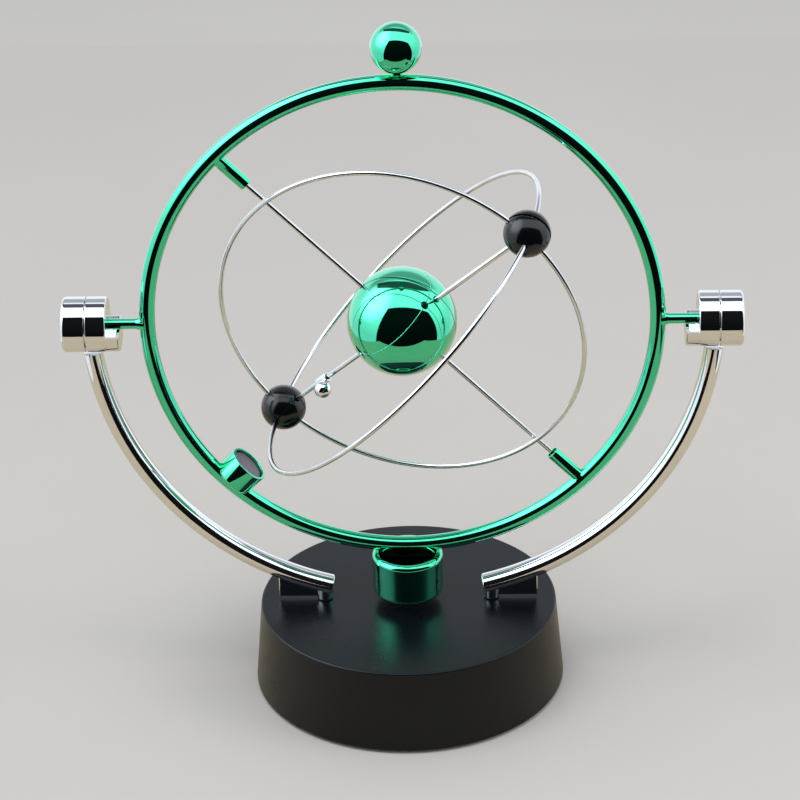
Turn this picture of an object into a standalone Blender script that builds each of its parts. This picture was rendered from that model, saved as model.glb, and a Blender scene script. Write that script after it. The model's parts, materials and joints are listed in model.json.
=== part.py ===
"""Kinetic orbit desk toy.

A round battery base carries two curved arms. A ring hangs between the arms on two pins and swings
over a drive coil hidden in the base. Inside the ring a rotor of two wire orbits, a centre ball and
two weighted balls spins on an axle that lies at 45 degrees in the plane of the ring.

Units are metres, +Z is up. The origin is on the table, under the middle of the base. The arms and
the ring lie in the XZ plane and the front of the toy faces -Y.
"""

from math import asin, cos, pi, radians, sin, sqrt

import bmesh
import bpy
from mathutils import Matrix, Vector

# ---------------------------------------------------------------- driving dimensions

MM = 0.001
TOUCH = 0.3 * MM  # gap kept between two pieces that touch
RUNNING = 0.1 * MM  # radial clearance of a shaft that turns in its bush

# Base drum
BASE_BOTTOM_RADIUS = 52.0 * MM
BASE_TOP_RADIUS = BASE_BOTTOM_RADIUS - 2.5 * MM
BASE_HEIGHT = 29.0 * MM
BASE_WALL = 2.0 * MM
BASE_TOP_WALL = 2.2 * MM
BASE_EDGE = 0.7 * MM
PLATE_THICK = 2.6 * MM
FOOT_RADIUS = 4.2 * MM
FOOT_THICK = 1.5 * MM
FOOT_STANDS = 1.0 * MM  # how far the feet hold the drum off the table
FOOT_CIRCLE = BASE_BOTTOM_RADIUS - 8.6 * MM

# Fixings
SCREW_CIRCLE = BASE_BOTTOM_RADIUS - 9.0 * MM
SCREW_RADIUS = 1.1 * MM
SCREW_HEAD_RADIUS = 2.6 * MM
SCREW_HEAD = 1.1 * MM
SCREW_BITE = 9.0 * MM  # length of thread inside a post
POST_WALL = 2.0 * MM

# Batteries, four AA cells side by side
CELL_RADIUS = 7.25 * MM
CELL_LENGTH = 50.5 * MM
CELL_NUB_RADIUS = 2.75 * MM
CELL_NUB = 1.3 * MM
CELL_COUNT = 4
CELL_PITCH = 2 * CELL_RADIUS + TOUCH
SPRING_LENGTH = 3.2 * MM
SPRING_WIRE = 0.35 * MM
SPRING_TURNS = 3
CONTACT_THICK = 0.4 * MM
BAY_WALL = 1.2 * MM
DOOR_THICK = 1.5 * MM
DOOR_LEDGE = 2.0 * MM

# Drive coil and circuit
COIL_FLANGE_RADIUS = 13.0 * MM
COIL_RADIUS = 11.5 * MM
COIL_TUBE_RADIUS = 4.0 * MM
COIL_BORE = 3.0 * MM
COIL_HEIGHT = 6.4 * MM
COIL_FLANGE = 0.9 * MM
BOARD_LENGTH = 30.0 * MM
BOARD_WIDTH = 11.0 * MM
BOARD_THICK = 1.6 * MM
BOARD_Y = -36.5 * MM
LEAD_RADIUS = 0.6 * MM
COIL_WIRE_RADIUS = 0.35 * MM

# Swinging ring with its magnet cup, and the height of its pivots over the table
RING_RADIUS = 82.4 * MM  # to the middle of the tube
RING_TUBE = 2.6 * MM
CUP_RADIUS = 11.9 * MM
CUP_WALL = 2.2 * MM
CUP_FLOOR = 1.5 * MM
CUP_TOP_DROP = 0.1 * MM  # the cup's rim lies this far under the ring
CUP_HEIGHT = 14.8 * MM
CUP_EDGE = 1.8 * MM
CUP_LIP = 1.7 * MM  # rounding of the rim's outer edge
SWING_GAP = 3.1 * MM  # between the cup and the drum's top
PIVOT_HEIGHT = BASE_HEIGHT + SWING_GAP + CUP_HEIGHT + CUP_TOP_DROP + RING_RADIUS + RING_TUBE

# Pivots and arms
HOUSING_RADIUS = 9.0 * MM
HOUSING_WALL = 1.4 * MM
HOUSING_INNER_X = RING_RADIUS + RING_TUBE + 10.2 * MM
HOUSING_SEAM_X = HOUSING_INNER_X + 6.8 * MM
CAP_OUTER_X = HOUSING_SEAM_X + 8.0 * MM
CAP_EDGE = 1.0 * MM
CAP_LIP = 1.0 * MM
TRAY_X = HOUSING_INNER_X - 4.0 * MM
TRAY_WALL = 1.0 * MM
TRAY_RIM_DROP = 1.0 * MM  # the tray's rim lies this far under the pivot axis
BUSH_RADIUS = 3.2 * MM
BUSH_LENGTH = 3.7 * MM
BUSH_SEAT_WALL = 1.2 * MM

ARM_ARC_RADIUS = HOUSING_INNER_X + 5.8 * MM
ARM_RADIUS = 3.1 * MM
ARM_WIDEN = 1.2  # the arm is wider front to back than it is thick
ARM_FOOT_X = 25.2 * MM
ARM_BOSS_X = 28.0 * MM
ARM_BOSS_RADIUS = 2.7 * MM
ARM_RIB_OUT = 43.4 * MM
ARM_RIB_THICK = 2.6 * MM
ARM_RIB_LIFT = 1.0 * MM
ARM_PEG_X = 34.5 * MM
ARM_PEG_RADIUS = 0.9 * MM
SPIGOT_RADIUS = 1.8 * MM
SPIGOT_X = HOUSING_INNER_X + 4.0 * MM
SPIGOT_REACH = 4.0 * MM

# Pins, top ball, web and magnets of the ring
PIN_RADIUS = 1.7 * MM
JOURNAL_RADIUS = 1.0 * MM
JOURNAL_END_X = HOUSING_INNER_X + 5.0 * MM
TOP_BALL_RADIUS = 8.15 * MM
TOP_BALL_LIFT = 0.65 * MM  # gap from the ring up to the ball, bridged by the neck
NECK_RADIUS = 1.95 * MM
PLUG_RADIUS = 1.0 * MM
PLUG_LENGTH = 2.6 * MM
RING_MAGNET_THICK = 5.0 * MM
WEB_WIDTH = 2.0 * RING_TUBE
WEB_HEAD = 2.6 * MM

SIDE_CUP_RADIUS = 6.8 * MM
SIDE_CUP_WALL = 0.9 * MM
SIDE_CUP_FACE = RING_RADIUS - 9.6 * MM  # distance of its open face from the pivot centre
SIDE_CUP_DEPTH = 5.2 * MM
SIDE_MAGNET_THICK = 4.0 * MM
SIDE_MAGNET_SINK = 0.9 * MM

AXLE_ANGLE = 45.0  # degrees, in the plane of the ring
AXLE_RADIUS = 0.75 * MM
AXLE_TIP = 1.2 * MM
SOCKET_RADIUS = 2.15 * MM
SOCKET_WALL = 0.4 * MM
SOCKET_FACE = RING_RADIUS - 14.0 * MM
SOCKET_DEPTH = 5.6 * MM
AXLE_HALF = SOCKET_FACE + 4.6 * MM
AXLE_BUSH_LENGTH = 3.2 * MM
AXLE_BUSH_SINK = 0.6 * MM

# Rotor
ROTOR_TURN = 20.0  # degrees the rotor stands out of the plane of the ring
CENTRE_BALL_RADIUS = 17.8 * MM
CENTRE_BALL_WALL_FRONT = 1.2 * MM
CENTRE_BALL_WALL_BACK = 1.394 * MM  # thicker, to balance the rod and orbit A in front of the axle
ROD_RADIUS = 0.85 * MM
WIRE_RADIUS = 0.8 * MM
ORBIT_A_RADIUS = RING_RADIUS - 21.8 * MM
ORBIT_SPACING = 2.0 * MM  # orbit B runs outside orbit A by this much
WEIGHT_RADIUS = 7.5 * MM
WEIGHT_WALL_UPPER = 1.3 * MM  # the two walls and the two magnets balance the bead
WEIGHT_WALL_LOWER = 0.9 * MM
WEIGHT_CENTRE = ORBIT_A_RADIUS + 0.4 * MM
WEIGHT_Y = -1.3 * MM
WEIGHT_SPLIT_UPPER = 1.0 * MM
WEIGHT_SPLIT_LOWER = 0.4 * MM
ROTOR_MAGNET_RADIUS = 3.2 * MM
ROTOR_MAGNET_UPPER = 2.3 * MM
ROTOR_MAGNET_LOWER = 0.9 * MM
BEAD_RADIUS = 2.8 * MM
BEAD_Z = -39.6 * MM
BEAD_LEAN = 18.0  # degrees the bead leans from straight in front of the rod
SLEEVE_WALL = 0.45 * MM
SLEEVE_LENGTH = 4.6 * MM

# ---------------------------------------------------------------- sizes that follow from them

FLOOR_Z = FOOT_STANDS
PLATE_TOP = FLOOR_Z + PLATE_THICK
CEILING_Z = BASE_HEIGHT - BASE_TOP_WALL
DRUM_SLOPE = (BASE_BOTTOM_RADIUS - BASE_TOP_RADIUS) / (BASE_HEIGHT - FLOOR_Z)
CELL_Z = FLOOR_Z + DOOR_THICK + 0.4 * MM + CELL_RADIUS
BAY_HALF_X = (CELL_COUNT - 1) / 2 * CELL_PITCH + CELL_RADIUS + TOUCH
BAY_HALF_Y = (CELL_LENGTH + SPRING_LENGTH) / 2 + TOUCH + CONTACT_THICK + TOUCH
BAY_TOP = CELL_Z + CELL_RADIUS + 2 * TOUCH
ROD_Y = -(AXLE_RADIUS + ROD_RADIUS + TOUCH)
ORBIT_B_RADIUS = ORBIT_A_RADIUS + ORBIT_SPACING
RING_OUTER = RING_RADIUS + RING_TUBE
CUP_TOP = -RING_OUTER - CUP_TOP_DROP
CUP_BOTTOM = CUP_TOP - CUP_HEIGHT
MAGNET_LOW = CUP_BOTTOM + CUP_FLOOR + TOUCH
SOCKET_BORE = SOCKET_RADIUS - SOCKET_WALL
SEAM_HALF = TOUCH / 2


def drum_inner_radius(z):
    """Radius of the inside of the drum wall at a height."""
    return BASE_BOTTOM_RADIUS - BASE_WALL - DRUM_SLOPE * (z - FLOOR_Z)


# ---------------------------------------------------------------- scene and materials

for old in list(bpy.data.objects):
    bpy.data.objects.remove(old, do_unlink=True)

PARTS = bpy.data.collections.new("kinetic_orbit_toy")
CUTTERS = bpy.data.collections.new("cutters")
for collection in (PARTS, CUTTERS):
    bpy.context.scene.collection.children.link(collection)


def make_material(name, colour, roughness, metallic):
    """A plain Principled material in a part's own colour."""
    material = bpy.data.materials.new(name)
    material.use_nodes = True
    shader = material.node_tree.nodes["Principled BSDF"]
    shader.inputs["Base Color"].default_value = (*colour, 1.0)
    shader.inputs["Roughness"].default_value = roughness
    shader.inputs["Metallic"].default_value = metallic
    return material


GREEN_CHROME = make_material("green_chrome", (0.05, 0.62, 0.30), 0.08, 1.0)
CHROME = make_material("chrome", (0.85, 0.86, 0.88), 0.06, 1.0)
STEEL_WIRE = make_material("steel_wire", (0.75, 0.76, 0.78), 0.18, 1.0)
BLACK_SATIN = make_material("black_satin", (0.02, 0.02, 0.024), 0.42, 0.0)
BLACK_GLOSS = make_material("black_gloss", (0.015, 0.015, 0.018), 0.22, 0.0)
GREY_PLASTIC = make_material("grey_plastic", (0.30, 0.30, 0.31), 0.5, 0.0)
RUBBER = make_material("rubber", (0.03, 0.03, 0.03), 0.9, 0.0)
MAGNET = make_material("magnet", (0.14, 0.14, 0.15), 0.6, 0.3)
SCREW_STEEL = make_material("screw_steel", (0.6, 0.6, 0.6), 0.3, 1.0)
BRASS = make_material("brass", (0.78, 0.60, 0.28), 0.3, 1.0)
COPPER = make_material("copper", (0.72, 0.36, 0.18), 0.35, 1.0)
CELL_JACKET = make_material("cell_jacket", (0.10, 0.22, 0.14), 0.35, 0.0)
BOARD_GREEN = make_material("board_green", (0.03, 0.25, 0.10), 0.4, 0.0)
LEAD_RED = make_material("lead_red", (0.6, 0.03, 0.03), 0.5, 0.0)
LEAD_BLACK = make_material("lead_black", (0.02, 0.02, 0.02), 0.5, 0.0)


# Pieces the exact solver leaves with open seams or missed cuts.
MANIFOLD_PIECES = (
    "base_shell",
    "base_plate",
    "centre_ball_front",
    "centre_ball_back",
    "weight_upper_front",
    "weight_lower_front",
)

# ---------------------------------------------------------------- modelling helpers


def add_empty(name, location, turn=(0.0, 0.0, 0.0), parent=None):
    """A frame that parts are hung on; turn is in degrees."""
    empty = bpy.data.objects.new(name, None)
    empty.location = location
    empty.rotation_euler = [radians(angle) for angle in turn]
    empty.parent = parent
    PARTS.objects.link(empty)
    return empty


def place(obj, name, material, parent=None, location=(0, 0, 0), turn=(0, 0, 0)):
    """Names an object and puts it in its collection; without a material it is a cutter."""
    obj.name = name
    obj.location = location
    obj.rotation_euler = [radians(angle) for angle in turn]
    obj.parent = parent
    for collection in list(obj.users_collection):
        collection.objects.unlink(obj)
    if material is None:
        CUTTERS.objects.link(obj)
        obj.hide_render = True
        obj.display_type = "WIRE"
    else:
        PARTS.objects.link(obj)
        obj.data.materials.clear()
        obj.data.materials.append(material)
    return obj


def smooth(obj, angle=35.0):
    """Shades a round piece smooth, with its real edges left sharp."""
    obj.data.shade_smooth()
    obj.data.set_sharp_from_angle(angle=radians(angle))
    return obj


def turned(name, profile, material, sides=32, **where):
    """A solid of revolution about its own Z axis.

    The profile's points are (radius, height). It either closes on itself or starts and ends on
    the axis, and it runs down the outer side of the piece.
    """
    closed = profile[0][0] > 0
    mesh = bpy.data.meshes.new(name)
    points = [(radius, 0.0, height) for radius, height in profile]
    edges = [(i, i + 1) for i in range(len(points) - 1)]
    if closed:
        edges.append((len(points) - 1, 0))
    mesh.from_pydata(points, edges, [])
    obj = place(bpy.data.objects.new(name, mesh), name, material, **where)
    screw = obj.modifiers.new("Turn", "SCREW")
    screw.axis = "Z"
    screw.steps = sides
    screw.render_steps = sides
    screw.use_merge_vertices = True
    screw.merge_threshold = 0.00001
    screw.use_smooth_shade = True
    return obj


def rod(name, radius, low, high, material, sides=16, tip=0.0, **where):
    """A round bar along its own Z axis, with a cone tip at each end if asked."""
    flat = radius * 0.3 if tip else radius
    profile = [(0, high), (flat, high), (radius, high - tip), (radius, low + tip), (flat, low), (0, low)]
    if not tip:
        profile = [(0, high), (radius, high), (radius, low), (0, low)]
    return turned(name, profile, material, sides, **where)


def pipe(name, outer, inner, low, high, material, sides=24, **where):
    """A straight tube along its own Z axis."""
    profile = [(inner, high), (outer, high), (outer, low), (inner, low)]
    return turned(name, profile, material, sides, **where)


def block(name, low, high, material, **where):
    """A box between two corners."""
    mesh = bpy.data.meshes.new(name)
    cage = bmesh.new()
    bmesh.ops.create_cube(cage, size=1.0)
    size = Vector(high) - Vector(low)
    middle = (Vector(high) + Vector(low)) / 2
    bmesh.ops.transform(cage, matrix=Matrix.Translation(middle) @ Matrix.Diagonal((*size, 1.0)), verts=cage.verts)
    cage.to_mesh(mesh)
    cage.free()
    return place(bpy.data.objects.new(name, mesh), name, material, **where)


def hoop(name, radius, tube, material, segments=64, sides=10, **where):
    """A closed ring of round wire about its own Z axis."""
    bpy.ops.mesh.primitive_torus_add(
        major_radius=radius, minor_radius=tube, major_segments=segments, minor_segments=sides
    )
    obj = place(bpy.context.active_object, name, material, **where)
    return smooth(obj, 60.0)


def wire(name, points, radius, material, roundness=1, **where):
    """A bent round wire through the points, as a closed mesh."""
    curve = bpy.data.curves.new(name, "CURVE")
    curve.dimensions = "3D"
    curve.bevel_depth = radius
    curve.bevel_resolution = roundness
    curve.use_fill_caps = True
    spline = curve.splines.new("POLY")
    spline.points.add(len(points) - 1)
    for slot, point in zip(spline.points, points):
        slot.co = (*point, 1.0)
    guide = bpy.data.objects.new(name + "_guide", curve)
    PARTS.objects.link(guide)
    evaluated = guide.evaluated_get(bpy.context.evaluated_depsgraph_get())
    mesh = bpy.data.meshes.new_from_object(evaluated)
    bpy.data.objects.remove(guide, do_unlink=True)
    cage = bmesh.new()
    cage.from_mesh(mesh)
    bmesh.ops.remove_doubles(cage, verts=cage.verts, dist=0.000001)
    cage.to_mesh(mesh)
    cage.free()
    obj = place(bpy.data.objects.new(name, mesh), name, material, **where)
    return smooth(obj, 60.0)


def outline(name, points, thickness, material, **where):
    """A flat outline in the XZ plane with a thickness along Y, centred on Y = 0."""
    mesh = bpy.data.meshes.new(name)
    cage = bmesh.new()
    front = [cage.verts.new((x, -thickness / 2, z)) for x, z in points]
    face = cage.faces.new(front)
    pushed = bmesh.ops.extrude_face_region(cage, geom=[face])
    moved = [item for item in pushed["geom"] if isinstance(item, bmesh.types.BMVert)]
    bmesh.ops.translate(cage, verts=moved, vec=(0, thickness, 0))
    bmesh.ops.recalc_face_normals(cage, faces=cage.faces)
    cage.to_mesh(mesh)
    cage.free()
    return place(bpy.data.objects.new(name, mesh), name, material, **where)


def boolean(obj, tool, operation):
    modifier = obj.modifiers.new(tool.name, "BOOLEAN")
    modifier.operation = operation
    modifier.solver = "MANIFOLD" if obj.name in MANIFOLD_PIECES else "EXACT"
    modifier.object = tool
    return obj


def join(obj, *tools):
    for tool in tools:
        boolean(obj, tool, "UNION")
    return obj


def cut(obj, *tools):
    for tool in tools:
        boolean(obj, tool, "DIFFERENCE")
    return obj


def arc(centre, radius, start, end, count):
    """Points of an arc in a plane, from one angle to another in degrees."""
    steps = [radians(start + (end - start) * i / (count - 1)) for i in range(count)]
    return [(centre[0] + radius * cos(step), centre[1] + radius * sin(step)) for step in steps]


def on_circle(radius, degrees):
    return (radius * cos(radians(degrees)), radius * sin(radians(degrees)))


def smooth_route(corners, per_span=4):
    """A route that passes through its corners on a Catmull-Rom curve."""
    points = [Vector(corner) for corner in corners]
    padded = [points[0]] + points + [points[-1]]
    route = []
    for i in range(1, len(padded) - 2):
        before, start, end, after = padded[i - 1 : i + 3]
        for step in range(per_span):
            t = step / per_span
            route.append(
                0.5
                * (
                    2 * start
                    + (end - before) * t
                    + (2 * before - 5 * start + 4 * end - after) * t**2
                    + (3 * start - before - 3 * end + after) * t**3
                )
            )
    route.append(points[-1])
    return route


# ---------------------------------------------------------------- base drum

SCREW_PLACES = [on_circle(SCREW_CIRCLE, angle) for angle in (90, 210, 330)]
FOOT_PLACES = [on_circle(FOOT_CIRCLE, angle) for angle in (30, 150, 270)]
SIDES = (("left", -1), ("right", 1))
POST_HOLE = SCREW_RADIUS + TOUCH
BOARD_TOP = CEILING_Z - 7.0 * MM
BOARD_POSTS = (-BOARD_LENGTH / 2 + 3.0 * MM, BOARD_LENGTH / 2 - 3.0 * MM)


def make_base_shell():
    """The drum: a tapered cup, open below, with posts and seats hanging from its top wall."""
    rim = arc((BASE_TOP_RADIUS - BASE_EDGE, BASE_HEIGHT - BASE_EDGE), BASE_EDGE, 90, 0, 4)
    profile = [(0, BASE_HEIGHT)] + rim
    profile += [(BASE_BOTTOM_RADIUS, FLOOR_Z), (BASE_BOTTOM_RADIUS - BASE_WALL, FLOOR_Z)]
    profile += [(drum_inner_radius(CEILING_Z), CEILING_Z), (0, CEILING_Z)]
    shell = turned("base_shell", profile, BLACK_SATIN, 48)
    root = CEILING_Z + BASE_TOP_WALL / 2
    seat = COIL_FLANGE_RADIUS + TOUCH
    join(shell, pipe("coil_seat", seat + 1.5 * MM, seat, CEILING_Z - 4.0 * MM, root, None, 24))
    outer, low, blind = POST_HOLE + POST_WALL, PLATE_TOP + TOUCH, PLATE_TOP + SCREW_BITE + TOUCH
    post = [(0, root), (outer, root), (outer, low), (POST_HOLE, low), (POST_HOLE, blind), (0, blind)]
    for i, (x, y) in enumerate(SCREW_PLACES):
        join(shell, turned(f"post_{i}", post, None, 12, location=(x, y, 0)))
    for i, x in enumerate(BOARD_POSTS):
        join(shell, rod(f"board_post_{i}", 2.0 * MM, BOARD_TOP + TOUCH, root, None, 12, location=(x, BOARD_Y, 0)))
    for side, sign in SIDES:
        for hole, radius, x in (("screw", SCREW_RADIUS, ARM_BOSS_X), ("peg", ARM_PEG_RADIUS, ARM_PEG_X)):
            tool = rod(
                f"arm_{hole}_hole_{side}",
                radius + TOUCH,
                CEILING_Z - 1 * MM,
                BASE_HEIGHT + 1 * MM,
                None,
                12,
                location=(sign * x, 0, 0),
            )
            cut(shell, tool)
    return shell


def make_base_plate():
    """The floor of the drum with the battery bay moulded on it."""
    radius = drum_inner_radius(PLATE_TOP) - TOUCH
    plate = rod("base_plate", radius, FLOOR_Z, PLATE_TOP, BLACK_SATIN, 48)
    out_x, out_y = BAY_HALF_X + BAY_WALL, BAY_HALF_Y + BAY_WALL
    bay = block("bay_outer", (-out_x, -out_y, FLOOR_Z + 0.5 * MM), (out_x, out_y, BAY_TOP + BAY_WALL), None)
    cavity = block("bay_cavity", (-BAY_HALF_X, -BAY_HALF_Y, 0), (BAY_HALF_X, BAY_HALF_Y, BAY_TOP), None)
    seat_x, seat_y = BAY_HALF_X + DOOR_LEDGE, BAY_HALF_Y + DOOR_LEDGE
    seat = block("door_seat", (-seat_x, -seat_y, 0), (seat_x, seat_y, FLOOR_Z + DOOR_THICK + TOUCH), None)
    cut(join(plate, bay), cavity, seat)
    for i, (x, y) in enumerate(SCREW_PLACES):
        hole = rod(f"plate_hole_{i}", SCREW_RADIUS + TOUCH, 0, PLATE_TOP + 1 * MM, None, 12, location=(x, y, 0))
        sink = FLOOR_Z + SCREW_HEAD + TOUCH
        head = rod(f"plate_sink_{i}", SCREW_HEAD_RADIUS + TOUCH, 0, sink, None, 16, location=(x, y, 0))
        cut(plate, hole, head)
    for i, (x, y) in enumerate(FOOT_PLACES):
        depth = FOOT_THICK + TOUCH
        cut(plate, rod(f"foot_seat_{i}", FOOT_RADIUS + TOUCH, 0, depth, None, 16, location=(x, y, 0)))
    for i, x in enumerate(LEAD_HOLES_X):
        tool = rod(f"lead_hole_{i}", LEAD_RADIUS + 3 * TOUCH, -3 * MM, 3 * MM, None, 12)
        tool.location = (x, BAY_HALF_Y, CELL_Z)
        tool.rotation_euler = (radians(90), 0, 0)
        cut(plate, tool)
    return plate


def make_battery_door():
    door_x, door_y = BAY_HALF_X + DOOR_LEDGE - TOUCH, BAY_HALF_Y + DOOR_LEDGE - TOUCH
    door = block("battery_door", (-door_x, -door_y, FLOOR_Z), (door_x, door_y, FLOOR_Z + DOOR_THICK), BLACK_SATIN)
    grip = rod("door_grip", 6 * MM, -0.7 * MM, 0.7 * MM, None, 24, location=(0, door_y - 9 * MM, FLOOR_Z))
    return cut(door, grip)


def make_screw(name, x, y, head_low, up, head_height=SCREW_HEAD):
    """A pan-head screw that points up from its head."""
    top = head_low + head_height
    profile = [(0, up), (SCREW_RADIUS * 0.5, up), (SCREW_RADIUS, up - 0.8 * MM), (SCREW_RADIUS, top)]
    profile += [(SCREW_HEAD_RADIUS, top), (SCREW_HEAD_RADIUS, head_low + 0.3 * MM)]
    profile += [(SCREW_HEAD_RADIUS - 0.3 * MM, head_low), (0, head_low)]
    return turned(name, profile, SCREW_STEEL, 12, location=(x, y, 0))


def make_base_fixings():
    for i, (x, y) in enumerate(SCREW_PLACES, 1):
        make_screw(f"base_screw_{i}", x, y, FLOOR_Z, PLATE_TOP + SCREW_BITE)
    for i, (x, y) in enumerate(FOOT_PLACES, 1):
        edge = 0.3 * MM
        profile = [(0, FOOT_THICK), (FOOT_RADIUS, FOOT_THICK), (FOOT_RADIUS, edge), (FOOT_RADIUS - edge, 0), (0, 0)]
        turned(f"foot_{i}", profile, RUBBER, 16, location=(x, y, 0))
    for side, sign in SIDES:
        low = CEILING_Z - TOUCH - SCREW_HEAD
        make_screw(f"arm_screw_{side}", sign * ARM_BOSS_X, 0, low, ARM_SCREW_TOP)


# ---------------------------------------------------------------- power and drive

CELL_X = [(i - (CELL_COUNT - 1) / 2) * CELL_PITCH for i in range(CELL_COUNT)]
CONTACT_Y = BAY_HALF_Y - TOUCH - CONTACT_THICK  # inner face of a contact plate
LEAD_HOLES_X = (CELL_X[0], CELL_X[-1])


def make_cell(index):
    """One battery along Y; neighbours point opposite ways."""
    facing = 1 if index % 2 == 0 else -1
    tip = CONTACT_Y - TOUCH
    profile = [(0, tip), (CELL_NUB_RADIUS, tip), (CELL_NUB_RADIUS, tip - CELL_NUB)]
    profile += [(CELL_RADIUS, tip - CELL_NUB), (CELL_RADIUS, tip - CELL_LENGTH), (0, tip - CELL_LENGTH)]
    where = {"location": (CELL_X[index], 0, CELL_Z), "turn": (-90 * facing, 0, 0)}
    turned(f"battery_{index + 1}", profile, CELL_JACKET, 16, **where)
    make_spring(index, -facing)


def make_spring(index, facing):
    """A conical contact spring between a cell's flat end and the bay's end."""
    start, end = CONTACT_Y - TOUCH - SPRING_WIRE, CONTACT_Y - SPRING_LENGTH + 2 * SPRING_WIRE
    steps = SPRING_TURNS * 6
    points = []
    for step in range(steps + 1):
        share = step / steps
        angle = 2 * pi * SPRING_TURNS * share
        radius = (4.4 - 2.0 * share) * MM
        points.append((radius * cos(angle), facing * (start + (end - start) * share), radius * sin(angle)))
    wire(f"contact_spring_{index + 1}", points, SPRING_WIRE, SCREW_STEEL, location=(CELL_X[index], 0, CELL_Z))


def make_contact(name, x_low, x_high, facing):
    y_low, y_high = sorted((facing * CONTACT_Y, facing * (CONTACT_Y + CONTACT_THICK)))
    half = 4.5 * MM
    block(name, (x_low - half, y_low, CELL_Z - half), (x_high + half, y_high, CELL_Z + half), SCREW_STEEL)


def make_power():
    for index in range(CELL_COUNT):
        make_cell(index)
    make_contact("contact_plate_1", CELL_X[0], CELL_X[1], -1)
    make_contact("contact_plate_2", CELL_X[2], CELL_X[3], -1)
    make_contact("contact_plate_3", CELL_X[1], CELL_X[2], 1)
    make_contact("contact_plate_4", CELL_X[0], CELL_X[0], 1)


def make_drive():
    """Coil on its bobbin under the middle of the drum's top, and the circuit that drives it."""
    high = CEILING_Z - TOUCH
    low = high - COIL_HEIGHT
    profile = [(COIL_BORE, high), (COIL_FLANGE_RADIUS, high), (COIL_FLANGE_RADIUS, high - COIL_FLANGE)]
    profile += [(COIL_TUBE_RADIUS, high - COIL_FLANGE), (COIL_TUBE_RADIUS, low + COIL_FLANGE)]
    profile += [(COIL_FLANGE_RADIUS, low + COIL_FLANGE), (COIL_FLANGE_RADIUS, low), (COIL_BORE, low)]
    turned("coil_bobbin", profile, GREY_PLASTIC, 24)
    inset = COIL_FLANGE + TOUCH
    pipe("coil_winding", COIL_RADIUS, COIL_TUBE_RADIUS + TOUCH, low + inset, high - inset, COPPER, 24)
    half_x, half_y = BOARD_LENGTH / 2, BOARD_WIDTH / 2
    bottom = BOARD_TOP - BOARD_THICK
    block("circuit_board", (-half_x, BOARD_Y - half_y, bottom), (half_x, BOARD_Y + half_y, BOARD_TOP), BOARD_GREEN)
    case = rod("drive_transistor", 2.3 * MM, bottom - 5.0 * MM, bottom - TOUCH, BLACK_GLOSS, 16)
    case.location = (0, BOARD_Y, 0)
    cut(case, block("transistor_flat", (-4 * MM, 1.2 * MM, 0), (4 * MM, 4 * MM, CEILING_Z), None, parent=case))
    make_leads(low)


def make_leads(coil_low):
    """Wires from the battery contacts and from the coil to the circuit board."""
    over = BAY_TOP + BAY_WALL + LEAD_RADIUS + TOUCH
    out = BAY_HALF_Y + BAY_WALL
    rise = out + 3.0 * MM
    solder = BOARD_TOP + LEAD_RADIUS + TOUCH
    for name, material, x in (("battery_lead_red", LEAD_RED, CELL_X[0]), ("battery_lead_black", LEAD_BLACK, CELL_X[-1])):
        sign = -1 if x < 0 else 1
        corners = [(x, BAY_HALF_Y, CELL_Z), (x, out + 0.5 * MM, CELL_Z), (x, rise, CELL_Z + 4 * MM)]
        corners += [(x, rise, over - 0.5 * MM), (x, out - 3 * MM, over + 0.9 * MM)]
        corners += [(x, 8 * MM, over + 0.4 * MM), (x, -16 * MM, over + 0.4 * MM)]
        corners += [(sign * 14 * MM, BOARD_Y + 8 * MM, solder + 2 * MM), (sign * 8 * MM, BOARD_Y + 2 * MM, solder)]
        wire(name, smooth_route(corners), LEAD_RADIUS, material)
    middle = coil_low + COIL_HEIGHT / 2
    for number, sign in ((1, -1), (2, 1)):
        end = BOARD_TOP + COIL_WIRE_RADIUS + TOUCH
        corners = [(sign * 3 * MM, -COIL_RADIUS - COIL_WIRE_RADIUS - TOUCH, middle - 1.3 * MM)]
        corners += [(sign * 3 * MM, -16.5 * MM, coil_low - 0.2 * MM), (sign * 3 * MM, -24 * MM, coil_low + 0.5 * MM)]
        corners += [(sign * 3 * MM, BOARD_Y + 3 * MM, end)]
        wire(f"coil_lead_{number}", smooth_route(corners, 3), COIL_WIRE_RADIUS, COPPER)


# ---------------------------------------------------------------- arms and pivots

ARM_LOW_ANGLE = asin(ARM_FOOT_X / ARM_ARC_RADIUS)
ARM_TOP_Z = PIVOT_HEIGHT - HOUSING_RADIUS - TOUCH
ARM_HIGH_ANGLE = pi / 2 - asin((PIVOT_HEIGHT - ARM_TOP_Z + 0.5 * MM) / ARM_ARC_RADIUS)
ARM_SCREW_TOP = BASE_HEIGHT + 4.2 * MM
ARM_STEPS = 20


def arm_height(x):
    """Height of the middle of the arm's bar above the table at a distance from the centre."""
    return PIVOT_HEIGHT - sqrt(ARM_ARC_RADIUS**2 - x**2)


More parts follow.
